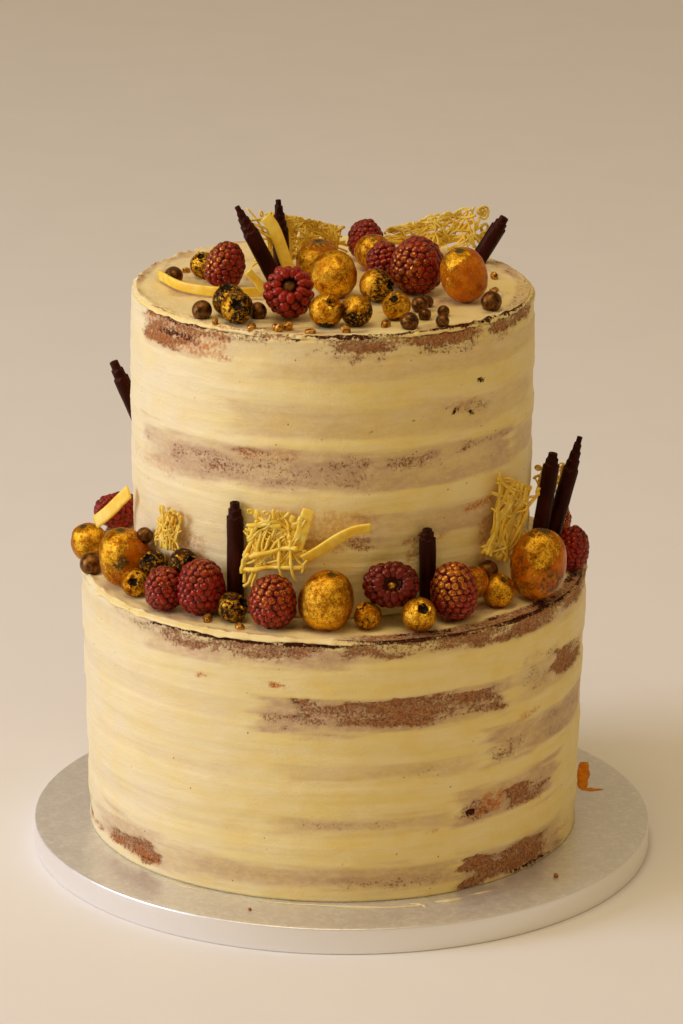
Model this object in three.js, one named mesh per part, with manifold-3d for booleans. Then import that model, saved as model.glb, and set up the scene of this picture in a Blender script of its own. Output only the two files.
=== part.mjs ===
import * as THREE from 'three';
import { mergeVertices } from 'three/addons/utils/BufferGeometryUtils.js';
import Module from 'manifold-3d';

// A two-tier naked wedding cake on a round drum board, in millimetres with +Z up.
// The origin is the middle of the board's underside, and the front of the cake faces -Y.
// Every direction is an angle in degrees round the cake, 0 at the front and positive to the right.

// Board
const BOARD_RADIUS = 127;
const BOARD_THICKNESS = 10.7;
const BOARD_EDGE = 0.7;
const BOARD_SEGMENTS = 44;

// Clearances
const GAP = 0.3;
const REST = 0.6;

// Tiers: layer spans are depths below the tier's top, scraped places are angles round the cake
const LOWER = {
  centre: [-4, 1],
  bottom: BOARD_THICKNESS + GAP,
  top: 120,
  baseRadius: 100.2,
  topRadius: 102.3,
  belly: 0.2,
  phase: 0.4,
  spongeSpans: [[3.6, 10.6], [26.5, 35.6], [46.5, 61], [75, 85.6], [98.7, 109.1]],
  scraped: [
    [[-80, 84], [120, 160], [-150, -110]],
    [[14, 42], [64, 88], [170, 200]],
    [[40, 76], [-160, -132]],
    [[30, 60], [146, 176]],
    [[32, 64], [-72, -44], [-176, -150]],
  ],
};
const UPPER = {
  centre: [-5, 6],
  bottom: LOWER.top + REST,
  top: 234,
  baseRadius: 79.6,
  topRadius: 79.6,
  belly: 0.7,
  phase: 2.1,
  spongeSpans: [[3.6, 10.4], [31.5, 42.5], [51, 63], [82, 92]],
  scraped: [
    [[-72, -40], [2, 78], [130, 170]],
    [[42, 56], [-140, -110]],
    [[-54, 20], [28, 44], [110, 140]],
    [[52, 72], [170, 200]],
  ],
};
const TIER_SEGMENTS = 30;
const COAT = 1.6;
const LAYER_RELIEF = 0.45;
const SWAY = 0.5;
const LIP_HEIGHT = 3.2;
const LIP_REACH = 1.1;
const LIP_RECESS = 0.7;
const TOP_RELIEF = 0.25;
const TOP_RINGS = [0.94, 0.55];
const SCRAPE_JITTER = 1.1;
const OVERSHOOT = 1;

const LEDGE_LEVEL = LOWER.top + REST;
const TOP_LEVEL = UPPER.top + REST;

// Rolls of dark chocolate, pushed a little way into the icing
const ROLL_RADIUS = 3.3;
const ROLL_SINK = 1.6;
const ROLL_SEGMENTS = 7;

// White chocolate: strips, and nests of threads with a frilled edge
const STRIP_THICKNESS = 1.3;
const THREAD = 1.5;
const NEST_THICKNESS = 1.4;
const FRILL_LEAST = 0.4;
const FRILL_SPREAD = 1.4;
const MESH_UNEVENNESS = 0.5;
const LEDGE_NEST_BEND = 84;

// Fruit: segments round each kind, and the drupelets of a raspberry
const RASPBERRY_SEGMENTS = 12;
const SMOOTH_FRUIT_SEGMENTS = 10;
const DRUPELET_ROWS = 5;
const DRUPELET_COLUMNS = 6;
const DRUPELET_BUMP = 0.09;
const CUP_BUMP = 0.06;
const CROWN_POINTS = 5;
const CROWN_SPREAD = 0.22;

// Pearls and nuggets: how high the centre sits, as a share of the height, and how broad a nugget is
const PEARL_SEAT = 0.4;
const NUGGET_SEAT = 0.35;
const NUGGET_BREADTH = 0.75;

const MERGE_DISTANCE = 1e-4;

const wasm = await Module();
wasm.setup();

const MATERIALS = {
  foil: finish('#b4b6b7', 0.35, 0.9),
  cream: finish('#e6d7a6', 0.6, 0),
  sponge: finish('#8f5f42', 0.9, 0),
  raspberry: finish('#8d1c22', 0.45, 0),
  physalis: finish('#c98a22', 0.35, 0.3),
  blueberry: finish('#4a3d22', 0.4, 0.3),
  darkChocolate: finish('#2c130e', 0.4, 0),
  whiteChocolate: finish('#ecd783', 0.5, 0),
};

function finish(color, roughness, metalness) {
  return new THREE.MeshStandardMaterial({ color, roughness, metalness });
}

function radians(degrees) {
  return THREE.MathUtils.degToRad(degrees);
}

// The point at an angle and a distance from a tier's axis
function around([x, y], angle, reach) {
  const turn = radians(angle);
  return [x + reach * Math.sin(turn), y - reach * Math.cos(turn)];
}

// A repeatable source of numbers from 0 to 1
function seededRandom(seed) {
  let state = seed;
  return () => {
    state = (state * 16807) % 2147483647;
    return state / 2147483647;
  };
}

// Merges shared vertices and drops the faces that collapse at a pole or seam
function closed(geometry) {
  const bare = geometry.clone();
  bare.deleteAttribute('normal');
  bare.deleteAttribute('uv');
  const merged = mergeVertices(bare, MERGE_DISTANCE);
  const faces = [];
  for (let i = 0; i < merged.index.count; i += 3) {
    const [a, b, c] = [0, 1, 2].map((corner) => merged.index.getX(i + corner));
    if (a !== b && b !== c && c !== a) {
      faces.push(a, b, c);
    }
  }
  merged.setIndex(faces);
  return merged;
}

// Moves each vertex of a closed geometry by a function of its place
function reshape(geometry, move) {
  const places = geometry.attributes.position;
  const point = new THREE.Vector3();
  for (let i = 0; i < places.count; i += 1) {
    point.fromBufferAttribute(places, i);
    move(point);
    places.setXYZ(i, point.x, point.y, point.z);
  }
  return geometry;
}

// A closed solid of revolution about +Z, whose profile is a list of [radius, height] from the bottom up
function turned(profile, segments) {
  const points = profile.map(([radius, height]) => new THREE.Vector2(radius, height));
  return closed(new THREE.LatheGeometry(points, segments).rotateX(Math.PI / 2));
}

function toSolid(geometry) {
  const vertProperties = new Float32Array(geometry.attributes.position.array);
  const triVerts = new Uint32Array(geometry.index.array);
  return new wasm.Manifold(new wasm.Mesh({ numProp: 3, vertProperties, triVerts }));
}

function toGeometry(solid) {
  const mesh = solid.getMesh();
  const geometry = new THREE.BufferGeometry();
  geometry.setAttribute('position', new THREE.BufferAttribute(mesh.vertProperties, 3));
  geometry.setIndex(new THREE.BufferAttribute(mesh.triVerts, 1));
  return geometry;
}

// The geometry of a placed mesh in the cake's own frame
function inPlace(mesh) {
  mesh.updateMatrixWorld();
  return mesh.geometry.clone().applyMatrix4(mesh.matrixWorld);
}

// The side of a tier, slightly bellied and uneven by hand
function sideRadius(tier, turn, z) {
  const share = (z - tier.bottom) / (tier.top - tier.bottom);
  const straight = THREE.MathUtils.lerp(tier.baseRadius, tier.topRadius, share);
  const sway = Math.sin(2 * turn + tier.phase + 3 * share) + 0.5 * Math.sin(5 * turn - 2 * tier.phase);
  return straight + tier.belly * Math.sin(Math.PI * share) + SWAY * sway;
}

// How far the layer at a depth stands out: fillings bulge and sponges are scraped back
function layerRelief(tier, depth) {
  const inSponge = tier.spongeSpans.some(([from, to]) => depth >= from && depth <= to);
  return inSponge ? -LAYER_RELIEF : LAYER_RELIEF;
}

// The depths at the middle of each layer, from the bottom of the tier up
function layerMiddles(tier) {
  const depths = [];
  tier.spongeSpans.forEach(([from, to], i) => {
    if (i > 0) {
      depths.push((tier.spongeSpans[i - 1][1] + from) / 2);
    }
    depths.push((from + to) / 2);
  });
  return depths.reverse();
}

// The whole outer form of a tier, with its ragged icing lip and the palette marks on top
function tierForm(tier) {
  const height = tier.top - tier.bottom;
  const rows = [height, ...layerMiddles(tier), LIP_HEIGHT, LIP_HEIGHT / 2, 0];
  const profile = [[0, tier.bottom], ...rows.map((depth) => [1, tier.top - depth])];
  TOP_RINGS.forEach((share) => profile.push([share, tier.top]));
  profile.push([0, tier.top]);
  const form = turned(profile, TIER_SEGMENTS);
  reshape(form, (point) => {
    const share = Math.hypot(point.x, point.y);
    const turn = Math.atan2(point.x, -point.y);
    const depth = tier.top - point.z;
    let radius = sideRadius(tier, turn, point.z) * share;
    if (depth > LIP_HEIGHT + MERGE_DISTANCE) {
      radius += layerRelief(tier, depth) * share;
    } else if (share > 0.99) {
      const ragged = 0.5 + 0.5 * Math.sin(7 * turn + tier.phase) * Math.sin(3 * turn + 1);
      const lip = depth < LIP_HEIGHT - MERGE_DISTANCE ? LIP_REACH * ragged : -LIP_RECESS;
      radius += depth < MERGE_DISTANCE ? lip - LIP_RECESS : lip;
    }
    if (depth < MERGE_DISTANCE) {
      point.z += TOP_RELIEF * Math.sin(5 * share + 3 * turn + tier.phase) * share;
    }
    point.x = tier.centre[0] + radius * Math.sin(turn);
    point.y = tier.centre[1] - radius * Math.cos(turn);
  });
  return toSolid(form);
}

// One sponge of a tier. It stops under the coat of icing, and passes the side where the coat is scraped off
function spongeForm(tier, index, grow) {
  const [from, to] = tier.spongeSpans[index];
  const isBottom = tier.top - to <= tier.bottom;
  const high = tier.top - from + grow;
  const low = isBottom ? tier.bottom - grow * OVERSHOOT / GAP : tier.top - to - grow;
  const form = turned([[0, low], [1, low], [1, high], [0, high]], TIER_SEGMENTS);
  return toSolid(reshape(form, (point) => {
    const share = Math.hypot(point.x, point.y);
    const turn = Math.atan2(point.x, -point.y);
    const scraped = tier.scraped[index].some(([start, end]) => isBetween(turn, start, end));
    const edge = scraped ? OVERSHOOT : -COAT;
    const radius = (sideRadius(tier, turn, point.z) + edge + grow) * share;
    const isLow = Math.abs(point.z - low) < MERGE_DISTANCE;
    if (share > 0.5 && (isLow ? !isBottom : index > 0)) {
      point.z += SCRAPE_JITTER * Math.sin(11 * turn + 2 * index + (isLow ? 2 : 0));
    }
    point.x = tier.centre[0] + radius * Math.sin(turn);
    point.y = tier.centre[1] - radius * Math.cos(turn);
  }));
}

function isBetween(turn, start, end) {
  const degrees = THREE.MathUtils.radToDeg(turn);
  return [degrees, degrees + 360].some((angle) => angle > start && angle < end);
}

function ball(size) {
  return closed(new THREE.SphereGeometry(size / 2, 5, 4).rotateX(Math.PI / 2));
}

// A small metallic pearl, sunk a little into the icing
function pearlOn(level, [angle, reach, size]) {
  const [x, y] = around(UPPER.centre, angle, reach);
  return toSolid(ball(size).translate(x, y, level + PEARL_SEAT * size));
}

// A small lump of gilded sugar, flatter than it is long
function nuggetOn(level, [angle, reach, length, height]) {
  const [x, y] = around(UPPER.centre, angle, reach);
  const lump = closed(new THREE.IcosahedronGeometry(0.5, 0)).scale(length, NUGGET_BREADTH * length, height);
  return toSolid(lump.rotateZ(radians(3 * angle)).translate(x, y, level + NUGGET_SEAT * height));
}

// The buttercream of a tier: fillings, thin coat and top in one body, with the sponges cut out of it
function creamOf(tier, sockets, pearls, nuggets) {
  let cream = tierForm(tier);
  tier.spongeSpans.forEach((span, i) => {
    cream = cream.subtract(spongeForm(tier, i, GAP));
  });
  pearls.forEach((pearl) => {
    cream = cream.add(pearlOn(tier.top, pearl));
  });
  nuggets.forEach((nugget) => {
    cream = cream.add(nuggetOn(tier.top, nugget));
  });
  sockets.forEach((socket) => {
    cream = cream.subtract(socket);
  });
  return toGeometry(cream);
}

function spongeOf(tier, index) {
  return toGeometry(spongeForm(tier, index, 0).intersect(tierForm(tier)));
}

function board() {
  const top = BOARD_THICKNESS;
  return turned([
    [0, 0],
    [BOARD_RADIUS - BOARD_EDGE, 0],
    [BOARD_RADIUS, BOARD_EDGE],
    [BOARD_RADIUS, top - BOARD_EDGE],
    [BOARD_RADIUS - BOARD_EDGE, top],
    [0, top],
  ], BOARD_SEGMENTS);
}

// A raspberry standing on its cut end, a blunt cone of staggered drupelets
function raspberry(width, height, depth = width) {
  const profile = [];
  for (let i = 0; i <= DRUPELET_ROWS; i += 1) {
    const share = i / DRUPELET_ROWS;
    const round = (1 - Math.abs(2 * share - 1) ** 2.6) ** 0.5 * (1.06 - 0.2 * share);
    profile.push([round / 2, share]);
  }
  return reshape(turned(profile, RASPBERRY_SEGMENTS), (point) => {
    const turn = Math.atan2(point.x, point.y);
    const stagger = Math.cos(Math.PI * DRUPELET_ROWS * point.z);
    const swell = 1 - DRUPELET_BUMP + DRUPELET_BUMP * stagger * Math.cos(DRUPELET_COLUMNS * turn);
    point.set(point.x * swell * width, point.y * swell * depth, point.z * height);
  });
}

// A raspberry with its open cup at the top and a pearl in the hollow
function raspberryCup(width, height, depth, hollow, pearl) {
  const profile = [[0, 0], [0.3, 0.03], [0.46, 0.3], [0.5, 0.6], [0.42, 0.92]];
  profile.push([hollow / width / 2 + 0.06, 1], [hollow / width / 2, 0.72], [0, 0.55]);
  const cup = reshape(turned(profile, RASPBERRY_SEGMENTS), (point) => {
    const turn = Math.atan2(point.x, point.y);
    const isOuter = Math.hypot(point.x, point.y) > 0.29;
    const bumps = Math.cos(DRUPELET_COLUMNS * turn) * Math.cos(12 * point.z);
    const swell = isOuter ? 1 - CUP_BUMP + CUP_BUMP * bumps : 1;
    point.set(point.x * swell * width, point.y * swell * depth, point.z * height);
  });
  const core = ball(pearl).translate(0, 0, 0.55 * height + 0.45 * pearl);
  return toGeometry(toSolid(cup).add(toSolid(core)));
}

// A blueberry with the five-pointed crown at its top
function blueberry(size) {
  const radius = size / 2;
  const profile = [[0, 0], [0.62, 0.18], [0.99, 0.8], [0.84, 1.42], [0.46, 1.84], [0, 1.6]];
  return reshape(turned(profile, SMOOTH_FRUIT_SEGMENTS), (point) => {
    const turn = Math.atan2(point.x, point.y);
    const isCrown = point.z > 1.8;
    const swell = isCrown ? 1 + CROWN_SPREAD * Math.cos(CROWN_POINTS * turn) : 1;
    point.set(point.x * swell * radius, point.y * swell * radius, point.z * radius);
  });
}

// A husked physalis fruit, a smooth and slightly lopsided ball with a dimple at its top
function physalis(width, height) {
  const profile = [[0, 0], [0.33, 0.09], [0.48, 0.4], [0.42, 0.76], [0.14, 0.99], [0, 0.94]];
  return reshape(turned(profile, SMOOTH_FRUIT_SEGMENTS), (point) => {
    const turn = Math.atan2(point.x, point.y);
    const swell = 1 + 0.04 * Math.cos(2 * turn + 3 * point.z);
    point.set(point.x * swell * width, point.y * swell * width, point.z * height);
  });
}

// A roll of dark chocolate along +Z from its base, with the rolled end stepped to a thin tip
function roll(length, tipLength) {
  const shoulder = length - tipLength;
  return turned([
    [0, 0],
    [ROLL_RADIUS, 0],
    [ROLL_RADIUS, shoulder],
    [0.7 * ROLL_RADIUS, shoulder + 0.15 * tipLength],
    [0.6 * ROLL_RADIUS, shoulder + 0.65 * tipLength],
    [0.3 * ROLL_RADIUS, length],
    [0, length],
  ], ROLL_SEGMENTS);
}

// A flat strip of chocolate along a curve through the given points, its width across the face direction
function strip(points, width, face, steps) {
  const curve = new THREE.CatmullRomCurve3(points.map((point) => new THREE.Vector3(...point)));
  const facing = new THREE.Vector3(...face);
  return reshape(closed(new THREE.BoxGeometry(1, 1, 1, steps, 1, 1)), (point) => {
    const share = point.x + 0.5;
    const along = curve.getTangent(share);
    const across = new THREE.Vector3().crossVectors(facing, along).normalize();
    const out = new THREE.Vector3().crossVectors(along, across);
    const { y, z } = point;
    point.copy(curve.getPoint(share));
    point.addScaledVector(across, y * width);
    point.addScaledVector(out, z * STRIP_THICKNESS);
  });
}

// A lattice of piped threads in its own XZ plane, facing -Y, with a frilled edge and open meshes
function nest({ columns, rows, width, height, seed, wave, bend = 0, peak = 0 }) {
  const random = seededRandom(seed);
  const stepX = (width - THREAD) / columns;
  const stepZ = (height - THREAD) / rows;
  const frill = () => FRILL_LEAST + FRILL_SPREAD * random();
  const outline = [];
  for (let i = 0; i < 2 * columns; i += 1) {
    outline.push([(i / 2) * stepX - width / 2, i % 2 ? 0 : -frill()]);
  }
  for (let i = 0; i < 2 * rows; i += 1) {
    outline.push([width / 2 + (i % 2 ? 0 : frill()), (i / 2) * stepZ]);
  }
  for (let i = 0; i < 2 * columns; i += 1) {
    outline.push([width / 2 - (i / 2) * stepX, height + (i % 2 ? 0 : frill())]);
  }
  for (let i = 0; i < 2 * rows; i += 1) {
    outline.push([-width / 2 - (i % 2 ? 0 : frill()), height - (i / 2) * stepZ]);
  }
  const shape = new THREE.Shape(outline.map(([x, z]) => new THREE.Vector2(x, z)));
  for (let i = 0; i < columns; i += 1) {
    for (let j = 0; j < rows; j += 1) {
      const left = THREAD + i * stepX - width / 2 + MESH_UNEVENNESS * random();
      const low = THREAD + j * stepZ + MESH_UNEVENNESS * random();
      const wide = stepX - THREAD - random();
      const tall = stepZ - THREAD - random();
      const skew = 0.8 * random() - 0.4;
      const corners = [
        [left, low], [left + skew, low + tall], [left + wide, low + tall], [left + wide - skew, low],
      ];
      shape.holes.push(new THREE.Path(corners.map(([x, z]) => new THREE.Vector2(x, z))));
    }
  }
  const flat = new THREE.ExtrudeGeometry(shape, { depth: NEST_THICKNESS, bevelEnabled: false, steps: 1 });
  return reshape(closed(flat.rotateX(Math.PI / 2)), (point) => {
    const ripple = wave * Math.sin(0.45 * point.x + 0.2 * point.z + seed) * Math.cos(0.3 * point.z);
    point.y += ripple + (bend ? point.x ** 2 / (2 * bend) : 0);
    point.z += peak * (point.x / width) * (point.z / height);
  });
}

// Stands a piece at an angle and reach from the upper tier's axis, leaning toward a direction
function stand(geometry, material, { level, angle, reach, lift = 0, lean = 0, toward = 0 }) {
  const mesh = new THREE.Mesh(geometry.center(), material);
  mesh.rotation.set(radians(lean), 0, radians(toward), 'ZXY');
  mesh.updateMatrixWorld();
  const lowest = new THREE.Box3().setFromObject(mesh, true).min.z;
  const [x, y] = around(UPPER.centre, angle, reach);
  mesh.position.set(x, y, level + lift - lowest);
  return mesh;
}

// Joins pieces that touch into one body
function joined(meshes) {
  const solids = meshes.map((mesh) => toSolid(inPlace(mesh)));
  const whole = solids.reduce((sum, solid) => sum.add(solid));
  return new THREE.Mesh(toGeometry(whole), meshes[0].material);
}

// A roll from its base on the icing to its tip, and the socket it leaves in the icing
function rollFrom({ base, tip, tipLength }, material) {
  const start = new THREE.Vector3(...base);
  const along = new THREE.Vector3(...tip).sub(start);
  const length = along.length();
  along.normalize();
  const mesh = new THREE.Mesh(roll(length + ROLL_SINK, tipLength), material);
  mesh.quaternion.setFromUnitVectors(new THREE.Vector3(0, 0, 1), along);
  mesh.position.copy(start).addScaledVector(along, -ROLL_SINK);
  const wide = ROLL_RADIUS + GAP;
  const outline = [[0, -GAP], [wide, -GAP], [wide, length / 2], [0, length / 2]];
  const hole = new THREE.Mesh(turned(outline, ROLL_SEGMENTS));
  hole.quaternion.copy(mesh.quaternion);
  hole.position.copy(mesh.position);
  return { mesh, socket: toSolid(inPlace(hole)) };
}

const cake = new THREE.Group();

function addNode(name, mesh) {
  mesh.name = name;
  cake.add(mesh);
}

// Rolls: where each enters the icing and where its tip is
const TOP_ROLLS = {
  top_roll_left: { base: [-27, 4, 234], tip: [-43.6, 3, 266.5], tipLength: 12 },
  top_roll_middle: { base: [-25.4, 18, 234], tip: [-27.4, 19, 265.5], tipLength: 12 },
  top_roll_right: { base: [53, 41.5, 234], tip: [64.4, 41.5, 253.5], tipLength: 5 },
};
const LEDGE_ROLLS = {
  ledge_roll_left: { base: [-42.2, -69.6, 120], tip: [-42.6, -69.4, 166], tipLength: 6 },
  ledge_roll_middle: { base: [33.3, -69, 120], tip: [32.5, -68.8, 155.5], tipLength: 4 },
  ledge_roll_back: { base: [-70, 72, 120], tip: [-96.8, 71, 183], tipLength: 8 },
};
const CROSSED_ROLLS = [
  { base: [77, -10, 120], tip: [83.8, -10, 169], tipLength: 5 },
  { base: [81, -6.4, 120], tip: [95, 0, 173], tipLength: 14 },
];

// Pearls as [angle, reach, size] and sugar nuggets as [angle, reach, length, height]
const TOP_PEARLS = [
  [-90, 64, 7.6], [-43.5, 74, 8], [-28.8, 60.6, 7.2], [40, 53, 6.9], [48, 50, 4.9], [34, 64, 5.1],
  [42, 64.5, 4.9], [34, 76, 5.4], [24, 73, 7.3], [59, 72.5, 8.4], [-130, 58, 7.5], [150, 62, 7.5],
];
const TOP_NUGGETS = [
  [17.5, 68, 4.7, 3.4], [4, 74, 3.9, 3.7], [-106, 62, 3.6, 2.6], [-79, 58, 4, 3], [-36, 77.5, 3.5, 3],
  [-24, 76.5, 4.6, 3], [-14, 71.5, 5, 4.2], [-16.5, 75, 4.6, 4], [-6.5, 75.5, 4.4, 2.4], [99, 65.5, 4, 3.8],
  [81, 65, 4.8, 2.2], [-170, 60, 4.4, 3],
];
const LEDGE_PEARLS = [[-75, 100, 9.4], [110.5, 97, 11], [122, 91, 7.6], [-124, 92, 7.6], [177, 93, 8]];
const LEDGE_NUGGETS = [
  [-29.5, 97.5, 5.4, 3.6], [-20.6, 100.5, 5.2, 3], [116, 96, 4.6, 3], [-170, 94, 5, 3.4],
];

function addRolls(rolls) {
  return Object.entries(rolls).map(([name, places]) => {
    const { mesh, socket } = rollFrom(places, MATERIALS.darkChocolate);
    addNode(name, mesh);
    return socket;
  });
}

addNode('board', new THREE.Mesh(board(), MATERIALS.foil));

const topSockets = addRolls(TOP_ROLLS);
const ledgeSockets = addRolls(LEDGE_ROLLS);
const crossed = CROSSED_ROLLS.map((places) => rollFrom(places, MATERIALS.darkChocolate));
addNode('ledge_rolls_right', joined(crossed.map(({ mesh }) => mesh)));
crossed.forEach(({ socket }) => ledgeSockets.push(socket));

const lowerCream = creamOf(LOWER, ledgeSockets, LEDGE_PEARLS, LEDGE_NUGGETS);
const upperCream = creamOf(UPPER, topSockets, TOP_PEARLS, TOP_NUGGETS);
addNode('lower_cream', new THREE.Mesh(lowerCream, MATERIALS.cream));
addNode('upper_cream', new THREE.Mesh(upperCream, MATERIALS.cream));
LOWER.spongeSpans.forEach((span, i) => {
  addNode(`lower_sponge_${i + 1}`, new THREE.Mesh(spongeOf(LOWER, i), MATERIALS.sponge));
});
UPPER.spongeSpans.forEach((span, i) => {
  addNode(`upper_sponge_${i + 1}`, new THREE.Mesh(spongeOf(UPPER, i), MATERIALS.sponge));
});

const onTop = (place) => ({ level: TOP_LEVEL, ...place });
const onLedge = (place) => ({ level: LEDGE_LEVEL, ...place });
const redBerry = (size, place) => stand(raspberry(...size), MATERIALS.raspberry, place);
const redCup = (size, place) => stand(raspberryCup(...size), MATERIALS.raspberry, place);
const blueBerry = (size, place) => stand(blueberry(size), MATERIALS.blueberry, place);
const goldBerry = (size, place) => stand(physalis(...size), MATERIALS.physalis, place);
const goldBall = (size, place) => stand(ball(size), MATERIALS.physalis, place);

// Fruit on the top tier
addNode('top_raspberry_left', redBerry([15.6, 17.3],
  onTop({ angle: -77.5, reach: 44, lean: 14, toward: 80 })));
addNode('top_raspberry_cup', redCup([19.4, 17, 19.4, 8, 7.6],
  onTop({ angle: -18, reach: 56, lean: 52, toward: 5 })));
addNode('top_raspberries_right', joined([
  redBerry([21.6, 20], onTop({ angle: 70, reach: 35.5, lean: 12, toward: 20 })),
  redBerry([15.6, 15.5], onTop({ angle: 88, reach: 20.5, lean: 20, toward: -150 })),
]));
addNode('top_raspberry_back', redBerry([14.4, 14.3],
  onTop({ angle: 163, reach: 44, lean: 10, toward: 180 })));
addNode('top_physalis_middle', goldBerry([17.6, 17.1], onTop({ angle: -128, reach: 8 })));
addNode('top_physalis_front', goldBerry([19.2, 17.7],
  onTop({ angle: 1, reach: 20.5, lean: 40, toward: -20 })));
addNode('top_physalis_right', goldBerry([18.8, 22.4],
  onTop({ angle: 63, reach: 58, lean: 14, toward: -60 })));
addNode('top_physalis_back', goldBerry([15, 15], onTop({ angle: 148, reach: 29.5 })));
addNode('top_blueberry_left', blueBerry(10.9, onTop({ angle: -100, reach: 53.2, lean: 30, toward: -20 })));
addNode('top_blueberries_left', joined([
  blueBerry(12.8, onTop({ angle: -31.5, reach: 71, lean: 62, toward: 0 })),
  blueBerry(13.2, onTop({ angle: -39.2, reach: 64.2, lean: 20, toward: -40 })),
]));
addNode('top_blueberries_front', joined([
  blueBerry(13.5, onTop({ angle: -2.2, reach: 65.2, lean: 45, toward: 30 })),
  blueBerry(12.6, onTop({ angle: 8.2, reach: 64, lean: 100, toward: 180 })),
]));
addNode('top_blueberry_middle', blueBerry(13.4, onTop({ angle: 33, reach: 31.5, lean: 80, toward: 60 })));
addNode('top_blueberry_right', blueBerry(11.3, onTop({ angle: 25, reach: 58.5, lean: 40, toward: -20 })));

// Fruit on the ledge
addNode('ledge_raspberry_left', redBerry([15.2, 18.5],
  onLedge({ angle: -109.5, reach: 94, lean: 82, toward: -60 })));
addNode('ledge_raspberries_left', joined([
  redBerry([15.3, 15.6], onLedge({ angle: -42.4, reach: 97, lean: 10, toward: -20 })),
  redBerry([19.2, 20, 16.6], onLedge({ angle: -33.6, reach: 91.5 })),
]));
addNode('ledge_raspberry_front', redBerry([18.6, 19],
  onLedge({ angle: -13.7, reach: 94.8, lean: 8, toward: 10 })));
addNode('ledge_raspberry_cup', redCup([22.4, 14, 17.8, 4.4, 4.4],
  onLedge({ angle: 15.3, reach: 88.2, lift: 6.5, lean: 72, toward: 8 })));
addNode('ledge_raspberry_middle', redBerry([18.8, 21.2, 17],
  onLedge({ angle: 30.6, reach: 94.6, lean: 6, toward: -20 })));
addNode('ledge_raspberry_right', redBerry([13.6, 17],
  onLedge({ angle: 79.5, reach: 99, lean: 6, toward: 90 })));
addNode('ledge_raspberry_far_right', redBerry([13.4, 15.8],
  onLedge({ angle: 102, reach: 94, lean: 12, toward: 120 })));
addNode('ledge_physalis_far_left', goldBerry([14.8, 16.4],
  onLedge({ angle: -84, reach: 98.6, lean: 20, toward: -60 })));
addNode('ledge_physalis_left', joined([
  goldBerry([21.2, 23.4], onLedge({ angle: -64, reach: 92, lean: 10, toward: -40 })),
  goldBall(6.8, onLedge({ angle: -61, reach: 85, lift: 17.6 })),
]));
addNode('ledge_physalis_front', goldBerry([21.8, 23.6],
  onLedge({ angle: -1, reach: 92.4, lean: 12, toward: 60 })));
addNode('ledge_physalis_middle', joined([
  goldBerry([13.4, 12.9], onLedge({ angle: 46, reach: 92, lean: 30, toward: 40 })),
  goldBerry([11.4, 12.3], onLedge({ angle: 40, reach: 87.6, lift: 5.2 })),
  goldBall(8.2, onLedge({ angle: 46.4, reach: 85.6, lift: 9.4 })),
]));
addNode('ledge_physalis_right', goldBerry([21.8, 29.4],
  onLedge({ angle: 56.8, reach: 98, lean: 8, toward: 90 })));
addNode('ledge_blueberries_left', joined([
  blueBerry(11.6, onLedge({ angle: -54, reach: 87.2, lift: 6.8, lean: 50, toward: -30 })),
  blueBerry(11.8, onLedge({ angle: -54.6, reach: 95, lean: 70, toward: -10 })),
]));
addNode('ledge_blueberry_left', blueBerry(11.2,
  onLedge({ angle: -42, reach: 86.6, lift: 12, lean: 70, toward: 40 })));
addNode('ledge_blueberry_front', blueBerry(12.2,
  onLedge({ angle: -24.2, reach: 93.1, lean: 60, toward: 60 })));
addNode('ledge_blueberry_gilded', blueBerry(11.1,
  onLedge({ angle: 8.8, reach: 93.5, lean: 30, toward: -60 })));
addNode('ledge_blueberry_middle', blueBerry(13.8,
  onLedge({ angle: 20, reach: 100.4, lean: 50, toward: 20 })));
addNode('ledge_raspberries_back', joined([
  redBerry([16, 17], onLedge({ angle: 137, reach: 90.5, lean: 8, toward: 120 })),
  redBerry([17, 18], onLedge({ angle: 145.8, reach: 91, lean: 12, toward: 150 })),
]));
addNode('ledge_physalis_back', joined([
  goldBerry([20, 21], onLedge({ angle: -156.2, reach: 92, lean: 10, toward: -140 })),
  goldBerry([17, 18], onLedge({ angle: -145.6, reach: 91, lean: 20, toward: -120 })),
]));

// White chocolate on the top tier
const white = MATERIALS.whiteChocolate;
const TOWARD_FRONT = [0, -1, 0];
addNode('top_curl', joined([
  new THREE.Mesh(strip([
    [-75, 8, 237], [-67, -8, 237], [-57, -15.5, 237], [-44, -19.2, 237], [-33, -18, 237],
  ], 4, [0.2, -1, 0], 6), white),
  new THREE.Mesh(strip([
    [-32.6, -18.4, 237.4], [-35, -19.2, 241.5], [-38.6, -20, 246],
  ], 3.2, TOWARD_FRONT, 2), white),
]));
addNode('top_strip', new THREE.Mesh(strip(
  [[-22.6, 6, 239.5], [-26, 7, 249], [-29.4, 9, 257], [-32.4, 10, 260.6]], 5, TOWARD_FRONT, 5,
), white));

function standingNest(nestShape, { x, y, z, turn, lean }) {
  const mesh = new THREE.Mesh(nest(nestShape), white);
  mesh.rotation.set(radians(lean), 0, radians(turn), 'ZXY');
  mesh.position.set(x, y, z);
  return mesh;
}

addNode('top_nest_left', standingNest(
  { columns: 5, rows: 2, width: 42, height: 16, seed: 11, wave: 1.4, peak: -12 },
  { x: -19, y: 37, z: 237, turn: 28, lean: -14 },
));
addNode('top_nest_right', standingNest(
  { columns: 5, rows: 2, width: 40, height: 12, seed: 5, wave: 1.6, peak: 9 },
  { x: 37, y: 52, z: 237.8, turn: 4, lean: -20 },
));

// White chocolate on the ledge: nests lean on the upper tier's side
function leaningNest(nestShape, { angle, reach, z, lean = 0, tip = 0 }) {
  const [x, y] = around(UPPER.centre, angle, reach);
  const mesh = new THREE.Mesh(nest({ ...nestShape, bend: LEDGE_NEST_BEND }), white);
  mesh.geometry.rotateY(radians(tip));
  mesh.rotation.set(radians(lean), 0, radians(angle), 'ZXY');
  mesh.position.set(x, y, z);
  return mesh;
}

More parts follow.
